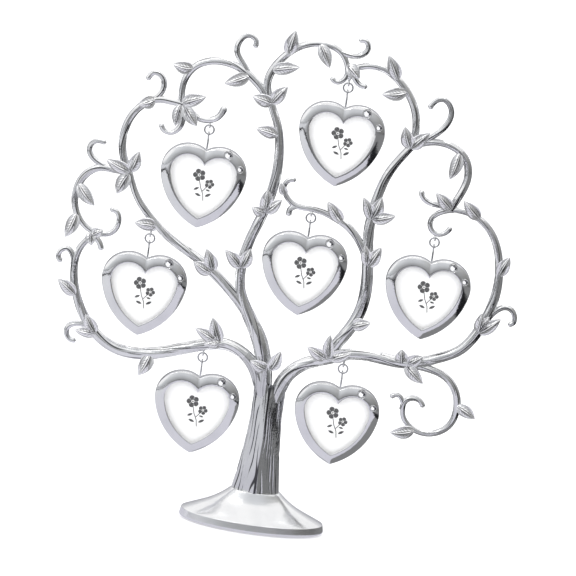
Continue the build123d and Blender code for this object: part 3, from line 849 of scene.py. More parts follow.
@dataclass(frozen=True)
class Leaf:
    """A folded leaf from its foot to its point, with its width and heights."""

    foot: Pair
    point: Pair
    width: float = 6.0
    seat_share: float = 0.34
    point_rise: float = 1.2
    rows: int = 29
    columns: int = 25
    bulge: Pair = (0.62, 0.92)
    fold: float = 1.25
    bow: float = 0.7
    ridge: float = 0.26
    hollow: float = 0.30
    vein: float = 0.07
    vein_pitch: float = 1.5
    vein_slope: float = 1.2
    back: float = 0.30

    def add_to(self, sheets: Sheets, carrier: float) -> None:
        """Adds the leaf's two faces.

        Args:
            sheets: The mesh under way.
            carrier: Thickness of the bough that carries it, in millimetres.
        """
        foot = np.array((self.foot[0] * WIDTH_STEP, -carrier * self.seat_share, self.foot[1] * HEIGHT_STEP))
        front = -carrier / 2 - self.point_rise
        run = np.array((self.point[0] * WIDTH_STEP, front, self.point[1] * HEIGHT_STEP)) - foot
        length = float(np.linalg.norm(run))
        run /= length
        out = np.array((0.0, -1.0, 0.0))
        out -= run * float(out @ run)
        out /= np.linalg.norm(out)
        side = np.cross(run, out)
        along = np.linspace(0.0, 1.0, self.rows)[:, None]
        across = np.linspace(-1.0, 1.0, self.columns)[None, :]
        near, far = self.bulge
        widest = near / (near + far)
        full = along ** near * (1 - along) ** far / (widest ** near * (1 - widest) ** far)
        half = np.maximum(self.width / 2 * full, 0.02)
        arc = np.sin(math.pi * along)
        sway = 0.4 * math.sin(self.foot[0] * 0.111 + self.point[1] * 0.057)
        level = foot + (along * length)[:, :, None] * run + (across * half + sway * arc)[:, :, None] * side
        reach = np.abs(across)
        veins = 0.5 - 0.5 * np.cos(
            (along * length - reach * half * self.vein_slope) * 2 * math.pi / self.vein_pitch
        )
        blade = np.sin(math.pi * np.clip(reach / 0.86, 0, 1)) ** 2
        folded = self.fold * full * (1 - reach ** 1.15) + self.bow * arc + 0.1
        ridges = self.ridge * (hump(reach, 0.0, 0.09) * np.sqrt(full) + hump(reach, 0.91, 0.07) * full)
        top = level + (folded + ridges - (self.hollow + self.vein * veins) * blade * full)[:, :, None] * out
        under = level + (folded - self.back - self.back * full * (1 - reach ** 2))[:, :, None] * out
        marks = (blade * (0.16 + 0.30 * veins) + 0.65 * hump(reach, 0.15, 0.07)) * np.sqrt(full)
        marks = marks + 0.60 * hump(reach, 0.80, 0.05) * full
        loop = np.concatenate([top, under[:, ::-1, :]], axis=1)
        sheets.grid(loop, np.concatenate([marks, np.full_like(marks, 0.3)], axis=1))


Routes = tuple[Route, ...]
Sprays = tuple[tuple[float, tuple[Leaf, ...]], ...]

STEM, THICK, LIMB, VINE_SIZE, THIN, TIP = 7.4, 5.6, 4.7, 3.6, 2.8, 2.1
ARCH_SIZES = (VINE_SIZE, VINE_SIZE, THIN)
LOOP_SIZES = (VINE_SIZE, VINE_SIZE, THIN, TIP)
CURL_SIZES = (THIN, THIN, TIP)

LEFT_BOUGH = Route(
    (
        (-12, 262), (-45, 328), (-105, 359), (-160, 351), (-230, 329), (-300, 316), (-360, 326), (-410, 363),
        (-440, 410), (-455, 465), (-448, 512), (-421, 544),
    ),
    (STEM, THICK, THICK, THICK, LIMB, VINE_SIZE, THIN),
)
LEFT_LOOP = Route(
    (
        (-363, 677), (-395, 677), (-425, 677), (-452, 663), (-470, 632), (-468, 588), (-445, 558),
        (-415, 546), (-386, 550), (-372.5, 572), (-380, 594), (-395, 597),
    ),
    LOOP_SIZES, Bark.VINE,
)
CENTRE_LIMB = Route(
    (
        (-10, 258), (-20, 330), (-40, 383), (-68, 425), (-93, 475), (-97, 520), (-86, 577), (-67, 630),
        (-51, 695), (-50, 755), (-60, 805), (-82, 850), (-95, 890), (-76, 934), (-40, 966), (5, 979),
        (46, 971), (69, 942), (66, 916), (50, 909), (38, 918),
    ),
    (STEM, STEM, LIMB, LIMB, LIMB, VINE_SIZE, VINE_SIZE, THIN, TIP),
)
DIAGONAL_LIMB = Route(
    (
        (-62, 417), (-100, 456), (-150, 496), (-200, 527), (-250, 551), (-300, 587), (-340, 629), (-364, 678),
    ),
    (LIMB, LIMB, VINE_SIZE, THIN),
)
LEFT_ARCH = Route(
    (
        (-362, 672), (-378, 700), (-386.5, 740), (-379, 777), (-355, 810), (-320, 827), (-290, 826),
        (-264, 822), (-243, 807), (-215, 799), (-190, 808), (-178, 831),
    ),
    ARCH_SIZES, Bark.VINE,
)
TOP_LEFT_ARCH = Route(
    (
        (-79, 848), (-105, 875), (-135, 898), (-175, 915), (-218, 916), (-252, 901), (-272, 869), (-271, 822),
    ),
    ARCH_SIZES, Bark.VINE,
)
TOP_RIGHT_ARCH = Route(
    (
        (228.5, 801), (233, 832), (227, 870), (205, 907), (175, 934), (138, 949), (105, 947), (73, 935),
    ),
    ARCH_SIZES, Bark.VINE,
)
RIGHT_BOUGH = Route(
    (
        (16, 255), (30, 307), (70, 343), (115, 359), (160, 374), (210, 377), (255, 373), (300, 374),
        (350, 390), (395, 412), (428, 453), (449, 503), (457, 553), (452, 600), (432, 648), (395, 680),
        (350, 691), (315, 684), (295, 668), (294.5, 650), (308, 639), (327, 642), (339, 657),
    ),
    (STEM, THICK, THICK, LIMB, LIMB, VINE_SIZE, THIN, TIP),
)
RIGHT_LIMB = Route(
    (
        (116, 358), (128, 385), (152, 423), (171, 465), (176.5, 515), (171, 570), (164.5, 630), (171.5, 690),
        (189, 745), (228.5, 803),
    ),
    (THICK, THICK, LIMB, VINE_SIZE),
)
RIGHT_ARCH = Route(
    (
        (332, 690), (347, 721), (358, 755), (350, 790), (320, 813), (275, 818), (228.5, 803),
    ),
    ARCH_SIZES, Bark.VINE,
)


def curl(*points: Pair) -> Route:
    """Thin curl with a round tip."""
    return Route(points, CURL_SIZES, Bark.CURL, tip=True)


@dataclass
class Limb:
    """One casting of the crown: its boughs, its leaves and the lug for a jump ring."""

    node: str = ""
    routes: Routes = ()
    leaves: Sprays = ()
    lug: Pair | None = None
    lug_reach: float = 1.08
    lug_wire: float = 0.42
    lug_drop: float = 2.1
    lug_rise: float = 2.2
    lug_sink: float = 0.2
    lug_stem: Pair = (0.5, 0.7)

    def bark(self) -> bpy.types.Object:
        """Skin of the boughs, with the lug.

        Returns:
            The skin.
        """
        sheets = Sheets()
        for route in self.routes:
            route.add_to(sheets)
        if self.lug:
            x, z = self.lug[0] * WIDTH_STEP, self.lug[1] * HEIGHT_STEP + self.lug_drop
            sheets.sheet(torus((x, 0, z), "X", self.lug_reach, self.lug_wire))
            stem = [(x, 0, z + self.lug_reach - self.lug_sink), (x, 0, z + self.lug_rise)]
            sheets.grid(rod(stem, self.lug_stem, 14))
        return sheets.piece(f"{self.node}_bark", BARK, "silver_plate", sharp=75)

    def foliage(self) -> bpy.types.Object:
        """All leaves of the limb.

        Returns:
            The leaves.
        """
        sheets = Sheets()
        for carrier, leaves in self.leaves:
            for leaf in leaves:
                leaf.add_to(sheets, carrier)
        return sheets.piece(f"{self.node}_leaves", LEAF, "silver_plate", sharp=50)

    def build(self) -> list[bpy.types.Object]:
        """Makes the limb's pieces in place of its plain node.

        Returns:
            The pieces, riding on the tree.
        """
        made = [self.bark(), self.foliage()]
        for piece in made:
            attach(piece, "tree")
        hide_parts(self.node)
        return made


@dataclass
class LeftBough(Limb):
    """Left bough and the loop at its end."""

    node: str = "left_bough"
    routes: Routes = (
        LEFT_BOUGH.part(first=0.15),
        LEFT_LOOP.part(first=0.06, tip=True),
        curl((-405, 357), (-437, 359), (-453, 350), (-453.5, 335), (-443, 325), (-431, 325)),
        curl((-458, 476), (-463, 498), (-477, 508), (-489.3, 500), (-490.7, 485), (-483, 479)),
        curl((-400, 677), (-428, 685), (-449, 697), (-455, 712), (-446, 726), (-420, 727)),
        curl((-425, 541), (-408, 528), (-401.5, 512)),
    )
    leaves: Sprays = (
        (LIMB, (
            Leaf((-121, 362), (-143, 413), 6.2), Leaf((-123, 362), (-178, 387.5)),
            Leaf((-115, 362), (-155, 357), 5.0), Leaf((-266, 320), (-287, 276), 6.4),
            Leaf((-392, 347), (-418, 384)), Leaf((-390, 344), (-437, 349), 5.0),
            Leaf((-445, 418), (-486, 447)),
        )),
        (VINE_SIZE, (
            Leaf((-424, 543), (-403, 557), 5.2), Leaf((-427, 548), (-424, 522), 4.8),
            Leaf((-469, 640), (-428, 602)), Leaf((-464, 580), (-482, 532), 6.0),
        )),
    )
    lug: Pair | None = RINGS["lower_left"]


@dataclass
class ForkedLimb(Limb):
    """Middle limb and the diagonal limb."""

    node: str = "forked_limb"
    routes: Routes = (
        CENTRE_LIMB.part(0.10, 0.57), DIAGONAL_LIMB, LEFT_LOOP.part(last=0.06), LEFT_ARCH.part(last=0.09),
        curl((-285, 575), (-297, 571), (-301, 565)),
    )
    leaves: Sprays = (
        (LIMB, (
            Leaf((-97, 518), (-136, 552)), Leaf((-97, 518), (-82, 561)), Leaf((-62, 634), (-92, 644), 5.0),
            Leaf((-62, 636), (-63, 683), 6.4), Leaf((-61, 634), (-30, 666), 5.4),
        )),
        (VINE_SIZE, (
            Leaf((-157, 501), (-176, 548), 6.4), Leaf((-158, 499), (-201, 519)),
            Leaf((-291, 578), (-338, 580)), Leaf((-362, 677), (-416, 698)),
            Leaf((-362, 677), (-347, 722), 5.8), Leaf((-364, 674), (-384, 632), 6.3),
        )),
    )
    lug: Pair | None = RINGS["mid_left"]


@dataclass
class LeftArches(Limb):
    """Two arches at the upper left with their hook and curls."""

    node: str = "left_arches"
    routes: Routes = (
        LEFT_ARCH.part(first=0.09, tip=True), TOP_LEFT_ARCH.part(first=0.17),
        curl((-338, 820), (-321, 835), (-314, 855), (-322, 873), (-338, 877), (-351, 861)),
        curl((-273, 823), (-264, 795), (-273, 772), (-290, 764.5), (-304, 770), (-309, 781)),
        curl((-136, 899), (-152, 919), (-167.5, 940), (-164, 965), (-148, 976), (-131, 967), (-132, 953)),
    )
    leaves: Sprays = (
        (VINE_SIZE, (
            Leaf((-328, 826), (-362, 813)), Leaf((-272, 824), (-278, 781), 5.0),
            Leaf((-264, 821), (-232, 787)), Leaf((-271, 826), (-220, 847)), Leaf((-257, 897), (-300, 902)),
            Leaf((-135, 898), (-186, 878)),
        )),
    )
    lug: Pair | None = RINGS["upper_left"]


@dataclass
class TopArch(Limb):
    """Arch over the top heart and the one that falls to the right."""

    node: str = "top_arch"
    routes: Routes = (
        CENTRE_LIMB.part(first=0.57, tip=True), TOP_LEFT_ARCH.part(last=0.17),
        TOP_RIGHT_ARCH.part(first=0.10),
        curl((52, 967), (76, 964.5), (98, 970), (107.5, 984), (100, 996.5), (85, 995.8)),
        curl((72, 943), (88, 921), (101, 910), (118, 908)),
        curl((68, 946), (77.5, 930), (77, 917)),
    )
    leaves: Sprays = (
        (VINE_SIZE, (
            Leaf((-58, 790), (-106, 799), 5.8), Leaf((-78, 850), (-123, 861)), Leaf((-80, 850), (-51, 889)),
            Leaf((-89, 916), (-31, 930)), Leaf((-60, 950), (-50, 1000), 6.3), Leaf((6, 979), (32, 937), 5.8),
            Leaf((69, 946), (98, 924), 6.0), Leaf((180, 931), (153, 977)), Leaf((203, 909), (150, 900)),
        )),
    )
    lug: Pair | None = RINGS["top"]


@dataclass
class RightBough(Limb):
    """Right bough and the great curl below its end."""

    node: str = "right_bough"
    routes: Routes = (
        RIGHT_BOUGH.part(0.06, 0.42), RIGHT_LIMB.part(last=0.10),
        Route(
            (
                (285, 370), (330, 368), (372, 357), (400, 330), (409, 295), (397, 257), (360, 236.5),
                (320, 242), (295, 268), (290, 295), (277, 306), (262, 299),
            ),
            LOOP_SIZES, Bark.VINE, tip=True,
        ),
        curl((292, 278), (298, 298), (316, 304), (331, 297), (337, 287)),
    )
    leaves: Sprays = (
        (THICK, (
            Leaf((114, 359), (68, 382), 5.8), Leaf((117, 360), (114, 412), 5.2), Leaf((120, 361), (165, 381)),
        )),
        (VINE_SIZE, (
            Leaf((276, 371), (272, 402), 6.3), Leaf((288, 371), (320, 393)),
            Leaf((284, 371), (328, 339), 5.8), Leaf((408, 302), (451, 283), 5.8),
            Leaf((325, 240), (273, 231)),
        )),
    )
    lug: Pair | None = RINGS["lower_right"]


@dataclass
class RightLimb(Limb):
    """Limb up from the right bough and the vine over the middle heart."""

    node: str = "right_limb"
    routes: Routes = (
        RIGHT_LIMB.part(first=0.10),
        Route(
            (
                (169, 567), (150, 599), (118, 628), (80, 645), (37, 653.5), (0, 656), (-22, 672), (-29, 691),
                (-20, 704), (-5, 706),
            ),
            LOOP_SIZES, Bark.VINE, tip=True,
        ),
        TOP_RIGHT_ARCH.part(last=0.10), RIGHT_ARCH.part(first=0.74),
        curl((4, 655), (-9, 648), (-11, 632)),
        curl((250, 811), (276, 833), (300, 862), (301, 889), (281, 904), (261, 893), (255, 882)),
    )
    leaves: Sprays = (
        (LIMB, (
            Leaf((157, 432), (197, 447), 6.1), Leaf((173, 556), (160, 601), 5.0),
            Leaf((174, 556), (196, 600), 6.1), Leaf((166, 650), (143, 694), 5.0),
            Leaf((166, 650), (182, 699), 6.4), Leaf((167, 650), (217, 666)),
        )),
        (THIN, (Leaf((104, 636), (68, 675)), Leaf((-24, 674), (-37, 699), 3.8))),
        (VINE_SIZE, (Leaf((227, 800), (209, 843)), Leaf((228, 800), (264, 838)))),
    )
    lug: Pair | None = RINGS["centre"]


@dataclass
class OuterLimb(Limb):
    """Outer right limb, the curl that holds a ring and the arch back to the crown."""

    node: str = "outer_limb"
    routes: Routes = (
        RIGHT_BOUGH.part(first=0.42, tip=True), RIGHT_ARCH.part(last=0.74),
        curl((335, 691), (305, 696), (283, 699), (268, 708), (265, 722)),
        curl((445, 480), (460, 500), (483, 512), (500.5, 502), (501.8, 482), (491, 478)),
    )
    leaves: Sprays = (
        (VINE_SIZE, (
            Leaf((429, 455), (432, 497), 5.2), Leaf((431, 456), (448, 492), 4.4),
            Leaf((430, 453), (474, 490), 5.8), Leaf((455, 573), (473, 616), 6.0),
            Leaf((396, 680), (357, 714)), Leaf((334, 690), (296, 722)), Leaf((334, 805), (320, 752), 5.8),
        )),
    )
    lug: Pair | None = RINGS["right"]


@dataclass
class Trunk(Limb):
    """Ribbed trunk with the roots of the three boughs.

    Each row of edges is a height with the left and the right side, in thousandths. The outline is the section
    seen from above, as shares of half a width and half a depth.
    """

    node: str = "trunk"
    routes: Routes = (LEFT_BOUGH.part(last=0.15), CENTRE_LIMB.part(last=0.10), RIGHT_BOUGH.part(last=0.06))
    leaves: Sprays = (
        (STEM, (Leaf((-6, 322), (13, 366), 6.0), Leaf((-10, 322), (-50, 339)))),
    )
    edges: tuple[Triple, ...] = (
        (72.6, -52.5, 52), (90, -49.5, 49), (120, -45, 44.5), (150, -40.5, 41), (185, -35.5, 38),
        (225, -32.5, 35), (265, -33, 35), (288, -36.5, 36),
    )
    depths: tuple[float, ...] = (14.0, 12.6, 11.2, 9.6, 6.2)
    outline: tuple[Pair, ...] = (
        (-1.00, 0.05), (-0.90, -0.18), (-0.70, -0.40), (-0.48, -0.54), (-0.26, -0.80), (-0.04, -0.98),
        (0.16, -0.84), (0.34, -0.70), (0.56, -0.46), (0.76, -0.30), (0.92, -0.10), (1.00, 0.10),
        (0.82, 0.60), (0.45, 0.78), (0.22, 0.74), (-0.04, 0.92), (-0.30, 0.76), (-0.55, 0.78), (-0.86, 0.52),
    )
    around: int = 220
    rows: int = 120
    root_around: int = 72
    flutes: float = 10.5
    flute_depth: float = 0.06
    threads: int = 33
    thread_depth: float = 0.008
    swell: float = 0.02
    head: float = 0.90
    head_pinch: Pair = (0.12, 0.35)
    depth_blur: int = 25

    def bark(self) -> bpy.types.Object:
        """Trunk and roots under one fluted skin.

        Returns:
            The skin.
        """
        known = np.array(self.outline)
        closed = np.vstack([known, known[:1]])
        reach = lengths(closed)
        spots = np.linspace(0, reach[-1], self.around, endpoint=False)
        ring = np.stack([np.interp(spots, reach, closed[:, axis]) for axis in (0, 1)], axis=1)
        table = np.array(self.edges)
        height = np.linspace(table[0, 0], table[-1, 0], self.rows)
        left, right = (np.interp(height, table[:, 0], table[:, column]) * WIDTH_STEP for column in (1, 2))
        share = np.linspace(0, 1, self.rows)
        depth = np.interp(share, np.linspace(0, 1, len(self.depths)), self.depths) / 2
        depth = smoothed(depth, np.ones(self.depth_blur))
        turn = np.arctan2(ring[:, 1], ring[:, 0])[None, :]
        rise = (height * HEIGHT_STEP)[:, None]
        wander = 0.10 * np.sin(rise / 9.0 + 2 * turn) + 0.045 * np.sin(rise / 3.7 + 5 * turn)
        cut = np.abs(np.sin(self.flutes * (turn + wander) + 1.6 * np.sin(3 * turn + rise / 12.0)))
        deep = 0.55 + 0.45 * np.sin(rise / 6.1 + 5 * turn)
        valley = (1 - cut) ** 2.0 * deep
        fine = 0.5 + 0.5 * np.sin(self.threads * turn + 2.4 * np.sin(rise / 4.3 + 4 * turn))
        scale = 1.0 + self.swell - self.flute_depth * valley - self.thread_depth * fine * (0.4 + 0.6 * deep)
        top = np.clip((share[:, None] - self.head) / (1 - self.head), 0, 1)
        middle, half = ((left + right) / 2)[:, None], ((right - left) / 2)[:, None]
        pinch_x, pinch_y = (1 - pinch * top ** 2 for pinch in self.head_pinch)
        x = middle + half * ring[None, :, 0] * scale * pinch_x
        y = depth[:, None] * ring[None, :, 1] * scale * pinch_y
        z = rise * np.ones_like(turn)
        ridge = (hump(ring[:, 0], -0.02, 0.05) * (ring[:, 1] < 0))[None, :]
        # Groove values: tarnish in the flutes and threads, a dark line down the front ridge, and painted
        # shade over the head (0.6 * top) where the roots part.
        marks = 0.35 * valley + 1.2 * (1 - cut) ** 5 * deep + 0.10 * fine + 0.9 * ridge * deep
        sheets = Sheets()
        sheets.grid(np.stack([x, y, z], axis=2), np.clip(marks + 0.6 * top, 0, 1))
        for route in self.routes:
            replace(route, sunk=True).add_to(sheets, around=self.root_around)
        return sheets.piece("trunk_bark", SHADED_TRUNK_BARK, "silver_plate", sharp=75)


# Foot


@dataclass
class Foot:
    """Polished oval foot with its felt pad and screw."""

    length: float = 66.4
    depth: float = 32.8
    collar_length: float = 22.6
    collar_depth: float = 13.0
    collar_edge: float = 0.3
    height: float = 16.7
    rim_height: float = 4.6
    edge: float = 1.0
    rim_lean: float = 0.56
    rim_round: float = 0.35
    proud: float = 0.5
    felt_margin: float = 3.0
    felt_edge: Pair = (0.15, 0.1)
    felt_thickness: float = 1.5
    around: int = 160
    flare_rows: int = 60
    flare: tuple[Pair, ...] = (
        (1.0, 0.0), (0.97, 0.028), (0.92, 0.068), (0.84, 0.128), (0.72, 0.215), (0.585, 0.32), (0.45, 0.43),
        (0.35, 0.53), (0.27, 0.62), (0.18, 0.735), (0.10, 0.85), (0.04, 0.945), (0.0, 1.0),
    )
    flare_blur: tuple[float, ...] = (1, 2, 3, 2, 1)

    def _ring(self, half: np.ndarray, height: float) -> np.ndarray:
        """Level oval of points, half as long and as deep as given."""
        turns = np.linspace(0, 2 * math.pi, self.around, endpoint=False)
        return np.stack(
            [half[0] * np.cos(turns), half[1] * np.sin(turns), np.full(self.around, height)], axis=1
        )

    def _rim(self) -> list[Pair]:
        """Insets and heights from the recess for the felt out round the rim and up its wall.

        Returns:
            Inset and height of each row.
        """
        setback, rise = self.felt_edge
        rim = [(self.felt_margin, self.felt_thickness), (self.felt_margin, self.proud + rise)]
        rim.append((self.felt_margin - setback, self.proud))
        for turn in np.linspace(0, math.pi / 2, 9):
            rim.append((self.edge * (1 - math.sin(turn)), self.proud + self.edge * (1 - math.cos(turn))))
        wall_foot, wall_top = self.proud + self.edge, self.rim_height - self.rim_round
        for share in np.linspace(0, 1, 8)[1:]:
            rim.append((self.rim_lean * share, wall_foot + (wall_top - wall_foot) * share))
        for turn in np.linspace(0, math.pi / 2, 6)[1:]:
            inset = self.rim_lean + self.rim_round * (1 - math.cos(turn))
            rim.append((inset, wall_top + self.rim_round * math.sin(turn)))
        return rim

    def casting(self) -> bpy.types.Object:
        """Foot with its upright rim, softened edges and the recess below.

        Returns:
            The casting.
        """
        full = np.array((self.length, self.depth)) / 2
        collar = np.array((self.collar_length, self.collar_depth)) / 2
        run = full - self.rim_lean - self.rim_round - collar
        rows = [self._ring(full - inset, height) for inset, height in self._rim()]
        share = np.linspace(0, 1, self.flare_rows)[1:]
        knots, table = np.linspace(0, 1, len(self.flare)), np.array(self.flare).T
        flare = [smoothed(np.interp(share, knots, column), self.flare_blur) for column in table]
        for out, up in zip(*flare):
            height = self.rim_height + (self.height - self.rim_height) * up
            rows.append(self._ring(collar + run * out, height))
        rows.append(self._ring(collar - self.collar_edge, self.height))
        sheets = Sheets()
        sheets.grid(np.stack(rows))
        return sheets.piece("foot_casting", FOOT_PLATE, "silver_plate", sharp=55)

    def build(self) -> list[bpy.types.Object]:
        """Makes the casting and dresses the pad and the screw.

        Returns:
            The pieces.
        """
        casting = self.casting()
        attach(casting, "tree")
        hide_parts("foot")
        dress("felt_pad", FELT)
        dress("foot_screw", STEEL)
        return [casting]


# Hearts


@dataclass(frozen=True)
class HeartLine:
    """Heart outline of two lobe arcs, each running into a flatter side arc."""

    lobe_radius: float = 12.2
    spread: float = 7.0
    height: float = 25.4
    join: float = 10.0
    lobe_steps: int = 40
    side_steps: int = 26

    def points(self, inset: float) -> np.ndarray:
        """Closed outline moved in by inset.

        Args:
            inset: Millimetres from the full outline.

        Returns:
            Points by 2, from the cleft by the right side and the tip back to the cleft.
        """
        join = math.radians(self.join)
        reach = (self.spread ** 2 + self.height ** 2 - self.lobe_radius ** 2) / 2
        reach /= self.lobe_radius + self.spread * math.cos(join) - self.height * math.sin(join)
        side_x = self.spread - reach * math.cos(join)
        side_z = self.height + reach * math.sin(join)
        lobe, side = self.lobe_radius - inset, self.lobe_radius + reach - inset
        first = np.linspace(math.acos(-self.spread / lobe), -join, self.lobe_steps + 1)
        second = np.linspace(-join, -math.acos(-side_x / side), self.side_steps + 1)[1:]
        half = np.concatenate(
            [
                np.stack([self.spread + lobe * np.cos(first), self.height + lobe * np.sin(first)], axis=1),
                np.stack([side_x + side * np.cos(second), side_z + side * np.sin(second)], axis=1),
            ]
        )
        half[0, 0] = half[-1, 0] = 0.0
        return np.concatenate([half, half[1:-1][::-1] * (-1, 1)])


@dataclass
class HeartFrame:
    """One hanging heart: bezel, pane, print, back, crystals, hanger and jump ring.

    A stone is its place across and up, and its size. A row of the setting is its reach past the stone, its
    level and its groove value. A row of the cut is a share of the stone's radius, its level and its turn.
    """

    place: str
    ring: Pair
    line: HeartLine = field(default_factory=HeartLine)
    drop: float = 45.0
    back: float = 2.4
    crest: float = 3.0
    crest_inset: float = 3.95
    crown_tilt: float = 31.0
    crown_power: float = 0.8
    crown_steps: int = 24
    edge_round: float = 0.6
    window_inset: float = 4.4
    window_level: float = 2.85
    window_edge: float = 0.25
    pocket_inset: float = 2.4
    lip: float = 1.2
    rear_edge: tuple[Pair, ...] = ((0.35, 0.0), (0.1, 0.1), (0.0, 0.35))
    pane_depth: float = 1.0
    card_depth: float = 0.3
    card_gap: float = 0.04
    card_inset: float = 2.5
    card_middle: float = 20.0
    card_shares: tuple[float, ...] = (0.02, 0.35, 0.7, 1.0)
    ring_reach: float = 2.1
    ring_wire: float = 0.38
    eye_reach: float = 1.08
    eye_wire: float = 0.36
    stem: tuple[Triple, ...] = ((0.0, 0.0, 34.6), (0.0, 0.0, 36.5), (0.05, -0.05, 38.5), (0.05, 0.0, 40.4))
    stem_end: float = 0.95
    stem_sizes: tuple[float, ...] = (0.48, 0.46, 0.42, 0.40, 0.38)
    stones: tuple[Triple, ...] = ((10.0, 35.0, 3.4), (16.0, 29.4, 2.6))
    setting: tuple[Triple, ...] = (
        (0.40, 0.2, 1.0), (0.40, 2.6, 1.0), (0.37, 2.95, 1.0), (0.33, 3.05, 0.6), (0.30, 3.15, 0.1),
        (0.22, 3.28, 0.0), (0.10, 3.20, 0.0), (0.06, 3.05, 0.6), (0.02, 2.8, 1.0), (0.0, 1.9, 1.0),
    )
    setting_around: int = 32
    stone_play: float = 0.05
    cut: tuple[Triple, ...] = ((1.0, 1.95, 0.0), (1.0, 2.5, 0.0), (0.84, 2.95, 0.5), (0.42, 3.3, 0.0))
    # Painted reflection: each facet's tone, from white (0) to black (1), stands in for a crystal's glints and
    # dark reflections.
    tones: tuple[float, ...] = (0.0, 1.0, 0.1, 0.0, 0.9, 0.0, 0.3, 1.0)

    def _tip(self) -> Vector:
        """Place of the heart's tip in metres."""
        return Vector((self.ring[0] * WIDTH_STEP, 0.0, self.ring[1] * HEIGHT_STEP - self.drop)) * MM

    def _row(self, inset: float, forward: float) -> np.ndarray:
        """Outline at an inset and a distance towards the front."""
        flat = self.line.points(inset)
        return np.stack([flat[:, 0], np.full(len(flat), -forward), flat[:, 1]], axis=1)

    def _crown(self) -> list[Pair]:
        """Insets and heights of the crowned band, from its round outer edge in to the crest.

        Returns:
            Inset and height of each row.
        """
        tilt = math.radians(self.crown_tilt)
        edge = self.edge_round * (1 - math.sin(tilt))
        run = (self.crest_inset - edge) / self.crown_steps
        crown = [(self.crest_inset, self.crest)]
        for share in np.arange(1, self.crown_steps + 1) / self.crown_steps:
            inset, height = crown[-1]
            crown.append((inset - run, height - run * math.tan(tilt * share ** self.crown_power)))
        last = crown[-1][1]
        for turn in np.linspace(tilt, math.pi / 2, 9)[1:]:
            inset = edge - self.edge_round * (math.sin(turn) - math.sin(tilt))
            crown.append((inset, last - self.edge_round * (math.cos(tilt) - math.cos(turn))))
        return crown[::-1]

    def bezel_mesh(self) -> Sheets:
        """Softly crowned bezel with a rolled inner edge, the pocket's walls and two settings.

        Returns:
            The mesh under way.
        """
        profile = [(self.pocket_inset, self.lip), (self.pocket_inset, -self.back)]
        profile += [(inset, rise - self.back) for inset, rise in self.rear_edge]
        profile += [(0.0, 0.4), *self._crown()]
        for share in np.linspace(0, 1, 10)[1:]:
            inset = self.crest_inset + (self.window_inset - self.crest_inset) * share
            profile.append((inset, self.crest - (self.crest - self.window_level) * share ** 2))
        profile.append((self.window_inset, self.window_level - self.window_edge))
        profile += [(self.window_inset, self.lip), (self.pocket_inset, self.lip)]
        sheets = Sheets()
        sheets.sheet(np.stack([self._row(*place) for place in profile]))
        count = self.setting_around
        for stone in self.stones:
            rows = [circle(stone, stone[2] / 2 + reach, level, count) for reach, level, _ in self.setting]
            marks = [np.full(count, mark) for _, _, mark in self.setting]
            sheets.grid(np.stack(rows), np.stack(marks), cap_first=False)
        return sheets

    def print_mesh(self) -> Sheets:
        """Flat heart card, from its middle out, a hair behind the pane so that they share no plane.

        Returns:
            The mesh under way.
        """
        sheets = Sheets()
        level = self.lip - self.pane_depth - self.card_gap
        edge = self._row(self.card_inset, level)
        middle = np.array((0.0, -level, self.card_middle))
        rows = [middle + (edge - middle) * share for share in self.card_shares]
        sheets.grid(np.stack([*rows, edge + (0.0, self.card_depth - self.card_gap, 0.0)]))
        return sheets

    def crystal_mesh(self) -> Sheets:
        """Two brilliants whose table, star and kite facets are faces of their own.

        Returns:
            The mesh under way.
        """
        sheets = Sheets()
        count = len(self.tones)
        for stone in self.stones:
            radius = stone[2] / 2 - self.stone_play
            rows = [circle(stone, radius * reach, level, count, turn) for reach, level, turn in self.cut]
            for row, (low, high) in enumerate(zip(rows, rows[1:])):
                for place in range(count):
                    beside = (place + 1) % count
                    facet = np.array(((low[place], low[beside]), (high[place], high[beside])))
                    # Painted reflection: the facets take light and dark tones by turns.
                    tone = self.tones[(3 * place + 2 * row) % count]
                    sheets.sheet(facet, np.full((2, 2), tone), round_across=False)
            sheets.grid(rows[-1][None], cap_first=False)
        return sheets

    def hanger_mesh(self) -> Sheets:
        """Eye round the jump ring's foot and a bent stem down into the cleft.

        Returns:
            The mesh under way.
        """
        sheets = Sheets()
        eye = self.drop - self.ring_reach
        sheets.sheet(torus((0, 0, eye), "X", self.eye_reach, self.eye_wire))
        sheets.grid(rod([*self.stem, (0.0, 0.0, eye - self.stem_end)], self.stem_sizes, 16))
        return sheets

    def ring_mesh(self) -> Sheets:
        """Jump ring, from the heart's tip.

        Returns:
            The mesh under way.
        """
        sheets = Sheets()
        sheets.sheet(torus((0, 0, self.drop), "Y", self.ring_reach, self.ring_wire, around=56))
        return sheets

    def build(self) -> list[bpy.types.Object]:
        """Makes and dresses the heart's pieces in place of its plain nodes.

        Returns:
            The new pieces.
        """
        made = []
        plan = (
            ("bezel", "frame_bezel", self.bezel_mesh, FRAME_PLATE, "silver_plate", 38, "heart"),
            ("photo_card", "print", self.print_mesh, PRINT, "photo_paper", 30, "heart"),
            ("crystals", "cut_crystals", self.crystal_mesh, CRYSTAL, "crystal", 5, "heart"),
            ("hanger", "eye_pin", self.hanger_mesh, SHADED_WIRE, "silver_plate", None, "heart"),
            ("ring", "jump_ring", self.ring_mesh, SHADED_WIRE, "silver_plate", None, "link"),
        )
        for node, name, mesh, finish, slot, sharp, body in plan:
            piece = mesh().piece(f"{self.place}_{name}", finish, slot, sharp)
            piece.location = self._tip()
            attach(piece, f"{self.place}_{body}")
            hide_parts(f"{self.place}_{node}")
            made.append(piece)
        dress(f"{self.place}_pane", PANE)
        dress(f"{self.place}_back_cover", PLASTIC)
        return made


# Studio


